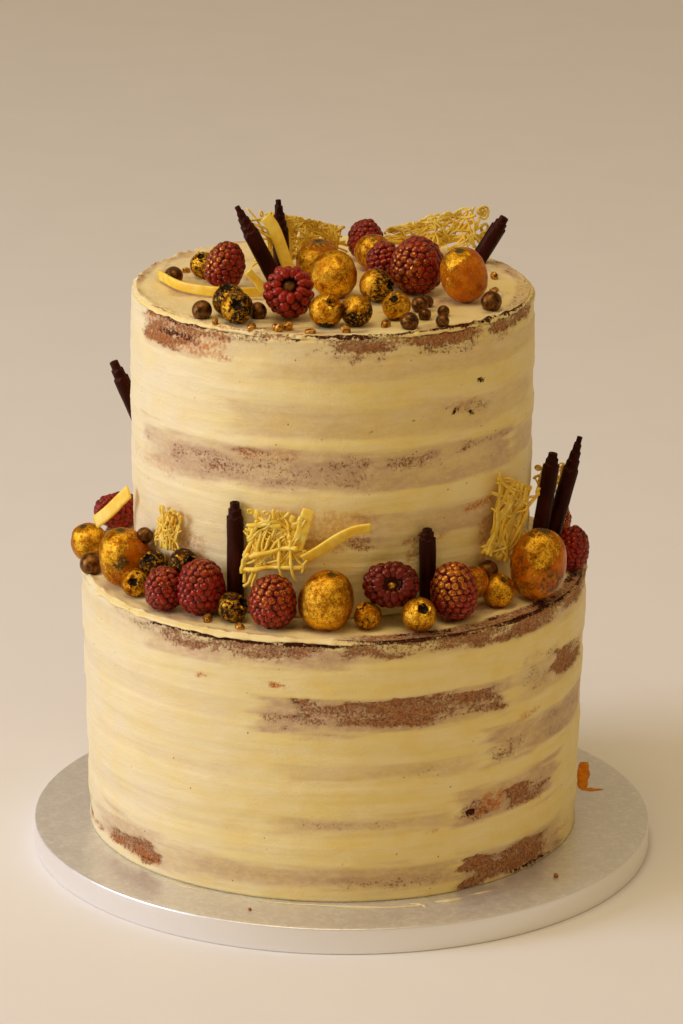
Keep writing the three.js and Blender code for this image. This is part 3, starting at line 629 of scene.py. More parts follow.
def side_radius(tier, angle, z):
    """How far a tier's side is from its axis, before the coat's relief."""
    turn = np.radians(angle)
    share = (z - tier["bottom"]) / (tier["top"] - tier["bottom"])
    straight = tier["base_radius"] + (tier["top_radius"] - tier["base_radius"]) * share
    sway = np.sin(2 * turn + tier["phase"] + 3 * share) + 0.5 * np.sin(5 * turn - 2 * tier["phase"])
    return straight + tier["belly"] * np.sin(math.pi * share) + SWAY * sway


def painted_left_light(tier, angle, depth):
    """Painted light: how far a tier is painted paler on its left, where the key light falls, from 0 to 1.
    """
    bent = angle + 30 * (round_field(angle, depth, 40, 12, tier["seed"] + 66, 3) - 0.5)
    return step(-178, -140, bent) * (1 - step(-66, 4, bent))


def side_marks(tier, angle, depth):
    """How thin the coat on a tier's side is, where it is scraped off, stained and scorched, and where it is
    painted pale as painted light on the left.
    """
    name, seed = tier["name"], tier["seed"]
    coarse = round_field(angle, depth, 12, 4, seed + 20, 4) - 0.5
    fine = round_field(angle, depth, 3.4, 1.6, seed + 40, 3) - 0.5
    veil = 1.8 * (round_field(angle, depth, 26, 2.2, seed + 60) - 0.5)
    thin = inside(tier, angle, depth, THINS[name], 12, 3.4, veil)
    thin = thin * np.clip(0.25 + 1.5 * round_field(angle, depth, 34, 9, seed + 65, 3), 0.3, 1.15)
    crumb = inside(tier, angle, depth, SCRAPES[name], 8, 2.6, 1.9 * coarse + 0.8 * fine)
    crumb = crumb * (0.68 + 1.4 * coarse)
    stain = inside(tier, angle, depth, STAINS[name], 4, 1.6, 1.8 * fine + 1.5 * coarse)
    stain = stain * (0.45 + 1.0 * round_field(angle, depth, 6, 3, seed + 47, 3))
    broken = np.clip(0.2 + 1.6 * round_field(angle, depth, 7, 5, seed + 45, 3), 0.35, 1.15)
    dark = broken * inside(tier, angle, depth, SCORCHES[name], 3, 0.8, 1.3 * fine + 0.9 * coarse)
    # Painted light: the side painted paler on the left, where the key light falls
    pale = painted_left_light(tier, angle, depth)
    return {"thin": thin, "crumb": crumb, "stain": stain, "dark": dark, "pale": pale}


def layer_relief(tier, angle, depth):
    """Sponges stand a little back and fillings bulge a little, with soft steps between."""
    relief = np.full(np.shape(depth), 0.3)
    strong = np.clip(2.2 * round_field(angle, 0 * depth, 50, 9, tier["seed"] + 70, 3) - 0.35, 0.15, 1.0)
    for high, low in tier["sponges"]:
        under = step(high - LAYER_BLEND, high + LAYER_BLEND, depth)
        over = 1 - step(low - LAYER_BLEND, low + LAYER_BLEND, depth)
        relief -= LAYER_STEP * strong * under * over
    return relief


def to_places(tier, angle, radius, z):
    """Points at angles, radii and heights about a tier's axis."""
    turn = np.radians(angle)
    x = tier["centre"][0] + radius * np.sin(turn)
    y = tier["centre"][1] - radius * np.cos(turn)
    return np.stack([x, y, z + np.zeros(np.shape(x))], -1).reshape(-1, 3)


def lip_amount(tier, angle):
    """How far the top icing hangs over the side, most on the front left."""
    wide = round_field(angle, 0 * angle, 26, 4, tier["seed"] + 80, 4)
    off = np.abs((angle + 24 + 180) % 360 - 180)
    kept = 0.45 + 0.55 * (1 - step(40, 75, off)) if tier["name"] == "lower" else 0.5
    return np.clip(2.6 * (wide - 0.2), 0.05, 1.3) * kept


def shoulder(tier, angle):
    """Where a tier's icing stops short of its rim and leaves crumb bare, from 0 to 1."""
    if tier["name"] == "upper":
        return 0.45 * step(52, 66, angle) * (1 - step(120, 140, angle))
    right = step(-2, 10, angle) * (1 - step(84, 100, angle))
    back = step(120, 132, angle) * (1 - step(158, 170, angle))
    return np.maximum(right, back)


def tier_cream(tier):
    """The buttercream of a tier: coat, fillings and top icing in one skin."""
    seed = tier["seed"]
    height = tier["top"] - tier["bottom"]
    column = np.arange(COLUMNS) / COLUMNS * 360 - 180
    depths = np.linspace(height, LIP_HEIGHT, SIDE_ROWS)
    angle, depth = np.meshgrid(column, depths)
    z = tier["top"] - depth
    marks = side_marks(tier, angle, depth)
    palette = round_field(angle, depth, 60, 2.4, seed, 4) - 0.5
    dabs = round_field(angle, depth, 10, 7, seed + 5, 3) - 0.5
    coat = COAT * (1 - marks["thin"] * 0.5) + PALETTE_SWEEP * palette + DABS * dabs
    radius = side_radius(tier, angle, z) + layer_relief(tier, angle, depth) + coat
    radius -= SCRAPE_DEPTH * step(0.3, 0.85, marks["crumb"]) + SCORCH_DEPTH * step(0.4, 0.8, marks["dark"])
    crumble = round_field(angle, depth, 3.2, 1.5, seed + 9, 2) - 0.5
    radius += 0.5 * crumble * step(0.15, 0.5, marks["crumb"])
    points = [to_places(tier, angle, radius, z)]
    fields = {name: [values.ravel()] for name, values in marks.items()}

    lip = lip_amount(tier, column)
    bare = shoulder(tier, column)
    droop = 0.5 * lip * (round_field(column, 0 * column, 14, 4, seed + 90, 2) - 0.2)
    ragged = round_field(column, 0 * column, 5, 4, seed + 95, 3) - 0.5
    burr = step(0.56, 0.8, round_field(column, 0 * column, 3.6, 4, seed + 141, 2)) * (1 - bare)
    ridge = np.clip(0.25 + 1.5 * ragged + 0.8 * burr, 0, 1.3) * (1 - 0.8 * bare)
    for i in range(1, LIP_ROWS + 1):
        share = i / LIP_ROWS
        level = LIP_HEIGHT * (1 - share)
        bulge = LIP_BULGE[i]
        out = side_radius(tier, column, tier["top"] - level) - LIP_INSET + OVERHANG * lip * bulge
        out = out + (WAVER * ragged + BURR * burr) * bulge
        out = out - 0.6 * step(0.7, 1.0, share) - 1.3 * bare * share
        sag = (droop + 1.2 * ragged) * min(1.0, 2.5 * (1 - share))
        sag = sag + SHOULDER_DROP * bare * share - 0.6 * ridge * share ** 3
        points.append(to_places(tier, column, out, tier["top"] - level - sag))
        edge = side_marks(tier, column, np.full(COLUMNS, level))
        hidden = 1 - step(0.08, 0.3, lip * bulge) * (1 - bare)
        for name in fields:
            fields[name].append(edge[name] * (hidden if share > 0.3 else 1.0))
        fields["crumb"][-1] = np.maximum(fields["crumb"][-1], 0.72 * bare)

    rim = side_radius(tier, column, np.full(COLUMNS, tier["top"])) - RIM_INSET
    reach = 4.5 + 5 * (round_field(column, 0 * column, 22, 4, seed + 97, 4) - 0.35)
    for i in range(1, TOP_RINGS + 1):
        share = 1 - (i / TOP_RINGS) ** 1.7
        inward = rim * (1 - share)
        swirl = round_field(column + 60 * share, np.full(COLUMNS, 90 * share), 70, 6, seed + 100, 4) - 0.5
        dabs = round_field(column, inward, 12, 7, seed + 110, 3) - 0.5
        near_rim = 1 - step(4, 16, inward)
        bowl = 0.25 * math.sin(9 * share) + 0.9 * swirl * min(1.0, 8 * (1 - share)) * min(1.0, share * 6)
        bowl = bowl + 1.1 * dabs * near_rim * step(0, 1.5, inward)
        bowl = bowl + 0.9 * ridge * (1 - step(0.4, 2.4, inward))
        off = bare * (1 - step(reach - 0.6, reach + 0.6, inward))
        level = tier["top"] + bowl - SHOULDER_DROP * off * (1 - 0.45 * np.clip(inward / reach, 0, 1))
        points.append(to_places(tier, column, rim * max(share, 0.004), level))
        smear = round_field(column + 40 * share, np.full(COLUMNS, 80 * share), 24, 5, seed + 120, 4)
        fields["thin"].append(np.maximum(step(0.5, 0.72, smear) * 0.8, 0.7 * off))
        patch = round_field(column, inward, 9, 2.5, seed + 130, 3)
        fields["crumb"].append(np.maximum(step(0.62, 0.8, smear) * 0.5, off * (0.5 + 0.5 * patch)))
        fields["stain"].append(np.zeros(COLUMNS))
        # The top carries 0.3 of the pale mark all over, and painted light near its rim on the left
        fields["pale"].append(0.3 + 0.5 * share * painted_left_light(tier, column, inward))
        scorched = 0.75 * off * step(0.45, 0.7, patch)
        fields["dark"].append(np.maximum(step(0.7, 0.84, smear) * 0.35, scorched))
    points = np.concatenate(points)
    rows = len(points) // COLUMNS
    made = Shape(points, grid_faces(rows, COLUMNS), {k: np.concatenate(v) for k, v in fields.items()})
    made.faces += end_caps(rows, COLUMNS)[::-1]
    return made


def tier_sponge(tier, index):
    """One sponge: a band of crumb that shows where the coat is scraped off, with its faces turned in."""
    high, low = tier["sponges"][index]
    column = np.arange(COLUMNS) / COLUMNS * 360 - 180
    depths = np.linspace(low, high, SPONGE_ROWS)
    angle, depth = np.meshgrid(column, depths)
    z = tier["top"] - depth
    rough = round_field(angle, depth, 2.6, 1.5, tier["seed"] + 200 + index, 3) - 0.5
    radius = side_radius(tier, angle, z) - SPONGE_INSET + SPONGE_ROUGHNESS * rough
    inner = side_radius(tier, column, z[0]) - SPONGE_REACH
    points = np.concatenate([
        to_places(tier, column, inner, z[0]),
        to_places(tier, angle, radius, z),
        to_places(tier, column, inner, z[-1]),
    ])
    marks = side_marks(tier, angle, depth)
    ends = np.zeros(COLUMNS)
    fields = {k: np.concatenate([ends, v.ravel(), ends]) for k, v in marks.items()}
    return Shape(points, grid_faces(SPONGE_ROWS + 2, COLUMNS), fields)


def make_tier(tier):
    name = tier["name"]
    piece(f"{name}_buttercream", tier_cream(tier), CREAM, [f"{name}_cream"])
    for index in range(len(tier["sponges"])):
        node = f"{name}_sponge_{index + 1}"
        piece(f"{node}_crumb", tier_sponge(tier, index), SPONGE, [node])


# Fruit

def fruit_radius(share):
    """A raspberry's radius at a share of its height, for a berry that is 1 wide."""
    return (1 - abs(2 * share - 1) ** 2.6) ** 0.5 * (1.06 - 0.2 * share) / 2


def raspberry(width, height, depth=None, seed=1):
    """A raspberry on its cut end: staggered rows of drupelets round a core."""
    depth = depth or width
    random = np.random.default_rng(seed)
    core = lathe([(fruit_radius(s) * 0.97, s) for s in np.linspace(0.02, 0.97, 10)], 16)
    core.points *= (width, depth, height * 0.97)
    # The core, which shows between the drupelets, gets no crest and so is painted in the deep red of the
    # painted shade
    core.marks["crest"] = np.zeros(len(core.points))
    shares = np.linspace(0.0, 1.0, 60)
    outline = np.array([(fruit_radius(s) * width * 0.9, s * height) for s in shares])
    length = np.concatenate([[0], np.cumsum(np.linalg.norm(np.diff(outline, axis=0), axis=1))])
    pitch = 2.8 * (width / 18) ** 0.5
    rows = max(5, int(round(length[-1] / (0.87 * pitch))))
    made = core
    for row in range(rows + 1):
        along = length[-1] * (row + 0.35) / (rows + 0.35)
        radius = np.interp(along, length, outline[:, 0])
        z = np.interp(along, length, outline[:, 1])
        ahead = np.array([np.interp(along + 0.4, length, outline[:, k]) for k in (0, 1)])
        behind = np.array([np.interp(along - 0.4, length, outline[:, k]) for k in (0, 1)])
        slope = ahead - behind
        normal = np.array([slope[1], -slope[0]]) / (np.linalg.norm(slope) + 1e-9)
        count = max(1, int(round(2 * math.pi * radius / pitch)))
        for k in range(count):
            turn = 2 * math.pi * (k + 0.5 * (row % 2) + random.uniform(-0.13, 0.13)) / count
            east, south = normal[0] * math.sin(turn), -normal[0] * math.cos(turn) * depth / width
            way = np.array([east, south, normal[1]]) + random.uniform(-0.08, 0.08, 3)
            size = pitch * random.uniform(0.66, 0.84)
            drupe = ball_shape((size, size * random.uniform(0.86, 1.06), size * 0.84), 10, 7)
            # Painted shade: the crest mark rises from a drupelet's foot, painted deep red, to its top
            drupe.marks["crest"] = step(0.15, 0.95, drupe.points[:, 2] / size)
            sit = np.array([radius * math.sin(turn), -radius * math.cos(turn) * depth / width, z])
            sit[2] += 0.25 * random.uniform(-1, 1)
            made.add(drupe.moved(upright_to(way), sit + way * random.uniform(-0.65, -0.15)))
    return made


# Rows of drupelets on a cup, as shares of its size: (reach, height, how many, how far they lean out)
CUP_ROWS = [
    (0.24, 0.06, 8, 70), (0.37, 0.26, 12, 88), (0.41, 0.48, 13, 80),
    (0.38, 0.72, 13, 52), (0.27, 0.86, 11, 12),
]
RIM_ROW = len(CUP_ROWS) - 1


def raspberry_cup(width, height, depth, hollow, seed, petal, fine, plump):
    """A raspberry seen into its open cup. Petal is how long the drupelets of its rim are."""
    random = np.random.default_rng(seed)
    profile = [(0.2, 0.02), (0.4, 0.3), (0.43, 0.6), (0.34, 0.85), (hollow / width / 2, 0.8), (0.02, 0.5)]
    made = lathe(profile, 20)
    made.points *= (width, depth, height)
    # The cup's core gets no crest and so is painted in the deep red of the painted shade
    made.marks["crest"] = np.zeros(len(made.points))
    for row, (reach, z, count, lean) in enumerate(CUP_ROWS):
        count = round(count / fine)
        for k in range(count):
            turn = 2 * math.pi * (k + 0.5 * (row % 2) + random.uniform(-0.1, 0.1)) / count
            size = 0.096 * width * fine * random.uniform(0.82, 1.16) * plump
            long = petal * random.uniform(0.85, 1.1) if row == RIM_ROW else 1.1
            drupe = ball_shape((size, size * long, size), 10, 6)
            # Painted shade: the crest mark rises from a drupelet's foot, painted deep red, to its top
            drupe.marks["crest"] = step(-0.1, 0.9, drupe.points[:, 2] / size)
            way = turned("z", math.degrees(turn)) @ turned("x", lean)
            sit = np.array([reach * width * math.sin(turn), -reach * depth * math.cos(turn), z * height])
            made.add(drupe.moved(way, sit))
    return made


def blueberry(size, seed=1):
    """A blueberry with a ragged five-pointed crown round a dark hollow at its top."""
    radius = size / 2
    segments = 50
    profile = [(math.sin(a), 1 - math.cos(a)) for a in np.radians(np.linspace(3, 150, 24))]
    profile += [(0.44, 1.93), (0.42, 2.03), (0.35, 2.02), (0.3, 1.87), (0.17, 1.82), (0.01, 1.8)]
    made = lathe(profile, segments)
    ring = np.repeat(np.arange(len(profile)), segments)
    turn = np.tile(np.arange(segments) / segments * 2 * math.pi, len(profile))
    crown = (ring >= 24) & (ring <= 26)
    points_of = 0.5 + 0.5 * np.cos(5 * turn + seed)
    torn = 1 + 0.1 * np.sin(9 * turn + 2 * seed)
    made.points[crown, :2] *= ((0.78 + 0.36 * points_of[crown]) * torn[crown])[:, None]
    made.points[crown, 2] += 0.11 * points_of[crown] - 0.07
    made.points *= (radius, radius, radius * 0.94)
    made.points[:, 2] += 0.02 * size * lumps(made.points, size / 2, seed)
    made.marks["pit"] = np.clip((ring - 26) / 3.0, 0, 0.45)
    return made


def physalis(width, height, seed=1, scar=True):
    """A husked physalis: a plump, lopsided ball, a little crumpled by its leaf, with a scar at its top."""
    rings, segments = 34, 52
    share = (np.arange(rings + 1) + 0.3) / (rings + 0.6)
    slope = math.pi * share
    wide = 0.5 * np.sin(slope) ** 0.86 * (1.02 - 0.06 * share)
    made = lathe(list(zip(wide, 0.5 - 0.5 * np.cos(slope))), segments)
    away = np.hypot(made.points[:, 0], made.points[:, 1])
    if scar:
        made.points[:, 2] -= 0.05 * np.exp(-(away / 0.09) ** 2) * (made.points[:, 2] > 0.6)
    made.points *= (width, width, height)
    out = made.points - (0, 0, height / 2)
    out /= np.linalg.norm(out, axis=1, keepdims=True)
    crumple = 0.022 * width * lumps(made.points, width / 2.2, seed)
    crumple = crumple + 0.14 * lumps(made.points, 2.6, seed + 9)
    made.points += out * crumple[:, None]
    made.marks["pit"] = 1.0 * (scar & (away < 0.08) & (out[:, 2] > 0.6))
    made.faces += end_caps(rings + 1, segments)
    return made


def stand(shape, level, angle, reach, lift=0, lean=0, toward=0):
    """Sets a fruit at an angle and reach from the upper tier's axis, leaning toward a direction."""
    middle = (shape.points.min(0) + shape.points.max(0)) / 2
    leant = shape.moved(None, -middle).moved(turned("z", toward) @ turned("x", lean))
    x, y = around(UPPER["centre"], angle, reach)
    return leant.moved(None, (x, y, level + lift - leant.points[:, 2].min()))


def spots(shape, base, places):
    """A mark that is base all over and changed round directions: (azimuth, elevation, spread, amount)."""
    middle = (shape.points.min(0) + shape.points.max(0)) / 2
    out = shape.points - middle
    out /= np.linalg.norm(out, axis=1, keepdims=True)
    value = np.full(len(out), float(base))
    for azimuth, elevation, spread, amount in places:
        a, e = math.radians(azimuth), math.radians(elevation)
        way = np.array([math.sin(a) * math.cos(e), -math.cos(a) * math.cos(e), math.sin(e)])
        near = np.degrees(np.arccos(np.clip(out @ way, -1, 1)))
        value += amount * (1 - step(0.5 * spread, 1.3 * spread, near))
    return value


def dressed(shape, gilt=0.3, gilts=(), dusks=()):
    """Adds a fruit's gold leaf and dark patches."""
    pit = shape.marks.pop("pit", np.zeros(len(shape.points)))
    shape.marks["gilt"] = spots(shape, gilt, gilts) - pit
    shape.marks["dusk"] = spots(shape, 0.1, dusks) + 2 * pit
    return shape


def red(size, place, gilt=0.25, gilts=(), seed=1):
    """A raspberry in its place: gilt is its gold dust all over, gilts are patches with more or less."""
    made = stand(raspberry(*size, seed=seed), **place)
    made.marks["gilt"] = spots(made, gilt, gilts)
    return made


def blue(size, place, gilt=0.35, gilts=(), dusks=(), seed=1):
    """A gilded blueberry in its place."""
    return dressed(stand(blueberry(size, seed), **place), gilt, gilts, dusks)


def gold(size, place, gilt=0.5, gilts=(), dusks=(), seed=1, scar=True):
    """A gilded physalis in its place. Dusks are patches where its skin is darker."""
    return dressed(stand(physalis(*size, seed=seed, scar=scar), **place), gilt, gilts, dusks)


def pearl(size, seed=1):
    """A small round ball, a little uneven."""
    made = ball_shape((size / 2,) * 3, 28, 18)
    made.points *= (1 + 0.015 * lumps(made.points, size / 2, seed))[:, None]
    made.marks["bright"] = np.zeros(len(made.points))
    return made


def on_top(angle, reach, **more):
    return dict(level=TOP_LEVEL - FRUIT_SINK, angle=angle, reach=reach, **more)


def on_ledge(angle, reach, **more):
    return dict(level=LEDGE_LEVEL - FRUIT_SINK, angle=angle, reach=reach, **more)


def joined(*shapes):
    whole = shapes[0]
    for other in shapes[1:]:
        whole.add(other)
    return whole


def pieces(ending, material, shapes):
    """Makes each shape a piece that stands for the node it is named after."""
    for name, shape in shapes.items():
        piece(f"{name}_{ending}", shape, material, [name])


def make_cup(name, cup, place, gilt, crest, ball, rise, bright):
    """A raspberry cup, dusted by gilt, its crest mark scaled by crest, which sets how much painted shade
    lies between the drupelets and where the dust goes, with a gilded ball up in its hollow.
    """
    cup = stand(cup, **place)
    cup.marks["gilt"] = spots(cup, gilt, [])
    cup.marks["crest"] *= crest
    piece(f"{name}_fruit", cup, RASPBERRY, [name])
    low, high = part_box(name)
    middle = (np.array(low) + np.array(high)) / 2 / MM
    raised = turned("z", place["toward"]) @ turned("x", place["lean"]) @ np.array([0, 0, rise])
    core = ball.moved(None, middle + raised)
    core.marks["bright"] += bright
    piece(f"{name}_pearl", core, BRONZE)


def make_top_fruit():
    pieces("fruit", RASPBERRY, {
        "top_raspberry_left": red(
            (15.6, 17.3), on_top(-77.5, 44, lean=14, toward=80), 0.24, [(-60, 40, 60, 0.2)], 3),
        "top_raspberries_right": joined(
            red((21.6, 20), on_top(70, 35.5, lean=12, toward=20), 0.3, [(-40, 10, 50, 0.12)], 4),
            red((15.6, 15.5), on_top(88, 20.5, lean=20, toward=-150), 0.3, seed=5)),
        "top_raspberry_back": red((14.4, 14.3), on_top(163, 44, lean=10, toward=180), 0.25, seed=6),
    })
    pieces("fruit", PHYSALIS, {
        "top_physalis_middle": gold(
            (17.6, 17.1), on_top(-128, 8), 0.5, [(-30, 0, 50, 0.25)], [(20, 78, 34, 0.7)], 21),
        "top_physalis_front": gold(
            (19.2, 17.7), on_top(1, 20.5, lean=40, toward=-20), 0.85, [(-40, 20, 50, 0.5)],
            seed=22, scar=False),
        "top_physalis_right": gold(
            (18.8, 22.4), on_top(63, 58, lean=14, toward=-60), 0.3,
            [(-50, 62, 34, 0.6), (-50, 10, 40, 0.15)], [(-40, -60, 50, 0.2)], 23),
        "top_physalis_back": gold(
            (15, 15), on_top(148, 29.5), 0.35, [(-30, 20, 50, 0.4)], [(20, 60, 50, 0.5)], 24),
    })
    pieces("fruit", BLUEBERRY, {
        "top_blueberry_left": blue(10.9, on_top(-100, 53.2, lean=30, toward=-20), 0.62, seed=31),
        "top_blueberries_left": joined(
            blue(12.8, on_top(-31.5, 71, lean=62, toward=0), 0.45, [(-70, 10, 50, 0.2)], seed=32),
            blue(13.2, on_top(-39.2, 64.2, lean=20, toward=-40), 0.45, seed=33)),
        "top_blueberries_front": joined(
            blue(13.5, on_top(-2.2, 65.2, lean=45, toward=30), 0.95, [(0, -70, 40, -0.8)], seed=34),
            blue(12.6, on_top(8.2, 64, lean=100, toward=180), 0.42, [(0, 50, 50, 0.3)], seed=35)),
        "top_blueberry_middle": blue(
            13.4, on_top(33, 31.5, lean=80, toward=60), 0.5, [(-60, 30, 45, 0.4)], seed=36),
        "top_blueberry_right": blue(11.3, on_top(25, 58.5, lean=40, toward=-20), 0.7, seed=37),
    })
    make_cup("top_raspberry_cup", raspberry_cup(19.4, 17, 19.4, 8, 7, petal=1.3, fine=1.0, plump=1.2),
             on_top(-18, 56, lean=52, toward=5), gilt=0.22, crest=1, ball=pearl(7.4, 7), rise=3.4, bright=0)


def make_ledge_fruit():
    pieces("fruit", RASPBERRY, {
        "ledge_raspberry_left": red(
            (15.2, 18.5), on_ledge(-109.5, 94, lean=82, toward=-60), 0.15, seed=11),
        "ledge_raspberries_left": joined(
            red((15.3, 15.6), on_ledge(-42.4, 97, lean=10, toward=-20), 0.24, [(0, 70, 50, 0.1)], 12),
            red((19.2, 20, 16.6), on_ledge(-33.6, 91.5), 0.22, [(0, 60, 40, 0.12)], 13)),
        "ledge_raspberry_front": red(
            (18.6, 19), on_ledge(-13.7, 94.8, lean=8, toward=10), 0.3, [(0, 50, 50, 0.12)], 14),
        "ledge_raspberry_middle": red(
            (18.8, 21.2, 17), on_ledge(30.6, 94.6, lean=6, toward=-20), 0.3, [(-30, 40, 60, 0.22)], 15),
        "ledge_raspberry_right": red((13.6, 17), on_ledge(79.5, 99, lean=6, toward=90), 0.2, seed=16),
        "ledge_raspberry_far_right": red(
            (13.4, 15.8), on_ledge(102, 94, lean=12, toward=120), 0.4, seed=17),
        "ledge_raspberries_back": joined(
            red((16, 17), on_ledge(137, 90.5, lean=8, toward=120), 0.3, seed=18),
            red((17, 18), on_ledge(145.8, 91, lean=12, toward=150), 0.25, seed=19)),
    })
    pieces("fruit", PHYSALIS, {
        "ledge_physalis_far_left": gold(
            (14.8, 16.4), on_ledge(-84, 98.6, lean=20, toward=-60), 0.5, [(-10, 30, 50, 0.5)], seed=41),
        "ledge_physalis_left": gold(
            (21.2, 23.4), on_ledge(-64, 92, lean=10, toward=-40), 0.56,
            [(-50, 40, 40, 0.7), (50, 0, 60, -0.3)], [(-10, 5, 26, 0.9)], 42),
        "ledge_physalis_front": gold(
            (21.8, 23.6), on_ledge(-1, 92.4, lean=12, toward=60), 1.05, [], [(20, -20, 34, 0.2)], 43),
        "ledge_physalis_middle": joined(
            gold((13.4, 12.9), on_ledge(46, 92, lean=30, toward=40), 0.75, [(-20, 50, 40, 0.3)], seed=44),
            gold((11.4, 12.3), on_ledge(40, 87.6, lift=5.2), 0.5, seed=45)),
        "ledge_physalis_right": gold(
            (21.8, 29.4), on_ledge(56.8, 98, lean=8, toward=90), 0.5,
            [(0, 40, 30, 0.6), (-45, 8, 32, -0.42), (35, -28, 40, -0.36), (70, -5, 40, -0.3)],
            [(-45, 8, 32, 0.55), (35, -28, 40, 0.6), (0, 80, 26, 0.7), (10, 14, 22, 0.4)], 46),
        "ledge_physalis_back": joined(
            gold((20, 21), on_ledge(-156.2, 92, lean=10, toward=-140), 0.5, [(180, 40, 50, 0.5)], seed=47),
            gold((17, 18), on_ledge(-145.6, 91, lean=20, toward=-120), 0.4, [], [(180, 10, 40, 0.7)], 48)),
    })
    pieces("fruit", BLUEBERRY, {
        "ledge_blueberries_left": joined(
            blue(11.6, on_ledge(-54, 87.2, lift=6.8, lean=50, toward=-30), 0.45, seed=51),
            blue(11.8, on_ledge(-54.6, 95, lean=70, toward=-10), 0.6, [(-60, 20, 60, 0.2)], seed=52)),
        "ledge_blueberry_left": blue(
            11.2, on_ledge(-42, 86.6, lift=12, lean=70, toward=40), 0.42, seed=53),
        "ledge_blueberry_front": blue(12.2, on_ledge(-24.2, 93.1, lean=60, toward=60), 0.48, seed=54),
        "ledge_blueberry_gilded": blue(
            11.1, on_ledge(8.8, 93.5, lean=30, toward=-60), 0.9, [(0, -40, 50, -0.3)], seed=55),
        "ledge_blueberry_middle": blue(13.8, on_ledge(20, 100.4, lean=50, toward=20), 0.78, seed=56),
    })
    make_cup("ledge_raspberry_cup", raspberry_cup(22.4, 14, 17.8, 4.4, 9, petal=1.35, fine=0.8, plump=1.3),
             on_ledge(15.3, 88.2, lift=6.5, lean=72, toward=8), gilt=0.1, crest=0.5, ball=pearl(4.2, 8),
             rise=4.2, bright=0.8)
    balls = joined(
        stand(pearl(6.8, 3), **on_ledge(-61, 85, lift=17.6)),
        stand(pearl(8.2, 4), **on_ledge(46.4, 85.6, lift=9.4)))
    piece("ledge_fruit_pearls", balls, BRONZE)


# Pearls as (angle, reach, size), and nuggets as (angle, reach, length, height)
TOP_PEARLS = [
    (-90, 64, 7.6), (-43.5, 74, 8), (-28.8, 60.6, 7.2), (40, 53, 6.9), (48, 50, 4.9), (34, 64, 5.1),
    (42, 64.5, 4.9), (34, 76, 5.4), (24, 73, 7.3), (59, 72.5, 8.4), (-130, 58, 7.5), (150, 62, 7.5),
]
TOP_NUGGETS = [
    (17.5, 68, 4.7, 3.4), (4, 74, 3.9, 3.7), (-106, 62, 3.6, 2.6), (-79, 58, 4, 3), (-36, 77.5, 3.5, 3),
    (-24, 76.5, 4.6, 3), (-14, 71.5, 5, 4.2), (-16.5, 75, 4.6, 4), (-6.5, 75.5, 4.4, 2.4),
    (99, 65.5, 4, 3.8), (81, 65, 4.8, 2.2), (-170, 60, 4.4, 3),
]
LEDGE_PEARLS = [(-75, 100, 9.4), (110.5, 97, 11), (122, 91, 7.6), (-124, 92, 7.6), (177, 93, 8)]
LEDGE_NUGGETS = [(-29.5, 97.5, 5.4, 3.6), (-20.6, 100.5, 5.2, 3), (116, 96, 4.6, 3), (-170, 94, 5, 3.4)]


def make_pearls(name, level, pearls, nuggets):
    """The pearls and sugar nuggets that lie on a tier's icing, as one piece."""
    whole = Shape(marks={"bright": np.zeros(0)})
    for i, (angle, reach, size) in enumerate(pearls):
        x, y = around(UPPER["centre"], angle, reach)
        whole.add(pearl(size, 60 + i).moved(turned("z", 40 * i), (x, y, level + 0.4 * size)))
    for i, (angle, reach, length, height) in enumerate(nuggets):
        x, y = around(UPPER["centre"], angle, reach)
        lump = ball_shape((length / 2, 0.375 * length, height / 2), 16, 10)
        lump.points *= (1 + 0.16 * lumps(lump.points, 1.6, 80 + i))[:, None]
        lump.marks["bright"] = np.full(len(lump.points), 0.9)
        whole.add(lump.moved(turned("z", 3 * angle), (x, y, level + 0.35 * height)))
    piece(name, whole, BRONZE)


# Chocolate

ROLL_RADIUS = 3.3
ROLL_SINK = 1.6


def roll(length, tip_length, blunt, seed):
    """A rolled sheet of dark chocolate whose turns end one after another in a stepped, ragged tip."""
    random = np.random.default_rng(seed)
    shoulder = length - tip_length
    steps = [(1.0, shoulder)]
    turns = 2 if blunt else 4
    for k in range(turns):
        share = (k + 1) / turns
        steps.append((1.0 - (0.42 if blunt else 0.66) * share, shoulder + tip_length * share))
    profile = [(0.01, 0), (1.0, 0)] + [(1.0, z) for z in np.linspace(1, shoulder - 1, 14)]
    edge = []
    for (wide, level), (narrow, upper) in zip(steps, steps[1:]):
        edge.append(len(profile))
        profile += [(wide, level - 0.25), (wide * 0.97, level + 0.1), (narrow + 0.03, level + 0.2)]
        profile += [(narrow, (level + upper) / 2)]
    last, top = steps[-1]
    profile += [(last, top - 0.3), (last * 0.9, top), (last * 0.45, top - 0.25), (last * 0.4, top - 0.9)]
    profile.append((0.01, top - 1))
    segments = 32
    made = lathe([(r * ROLL_RADIUS, z) for r, z in profile], segments)
    ring = np.repeat(np.arange(len(profile)), segments)
    turn = np.tile(np.arange(segments) / segments * 2 * math.pi, len(profile))
    for start in edge:
        ragged = 0.5 * np.sin(3 * turn + random.uniform(0, 6))
        ragged = ragged + 0.35 * np.sin(7 * turn + random.uniform(0, 6))
        moved = (ring >= start) & (ring <= start + 2)
        made.points[moved, 2] += ragged[moved] * (0.7 if blunt else 1.1)
    swell = 1 + 0.012 * np.sin(9 * turn + seed) + 0.02 * lumps(made.points, 5, seed)
    seam = -0.06 * np.exp(-((turn - 2.2 - 0.01 * made.points[:, 2]) / 0.12) ** 2)
    made.points[:, :2] *= (swell + seam)[:, None]
    made.marks["worn"] = np.isin(ring, [s + 1 for s in edge]) * 0.9
    return made


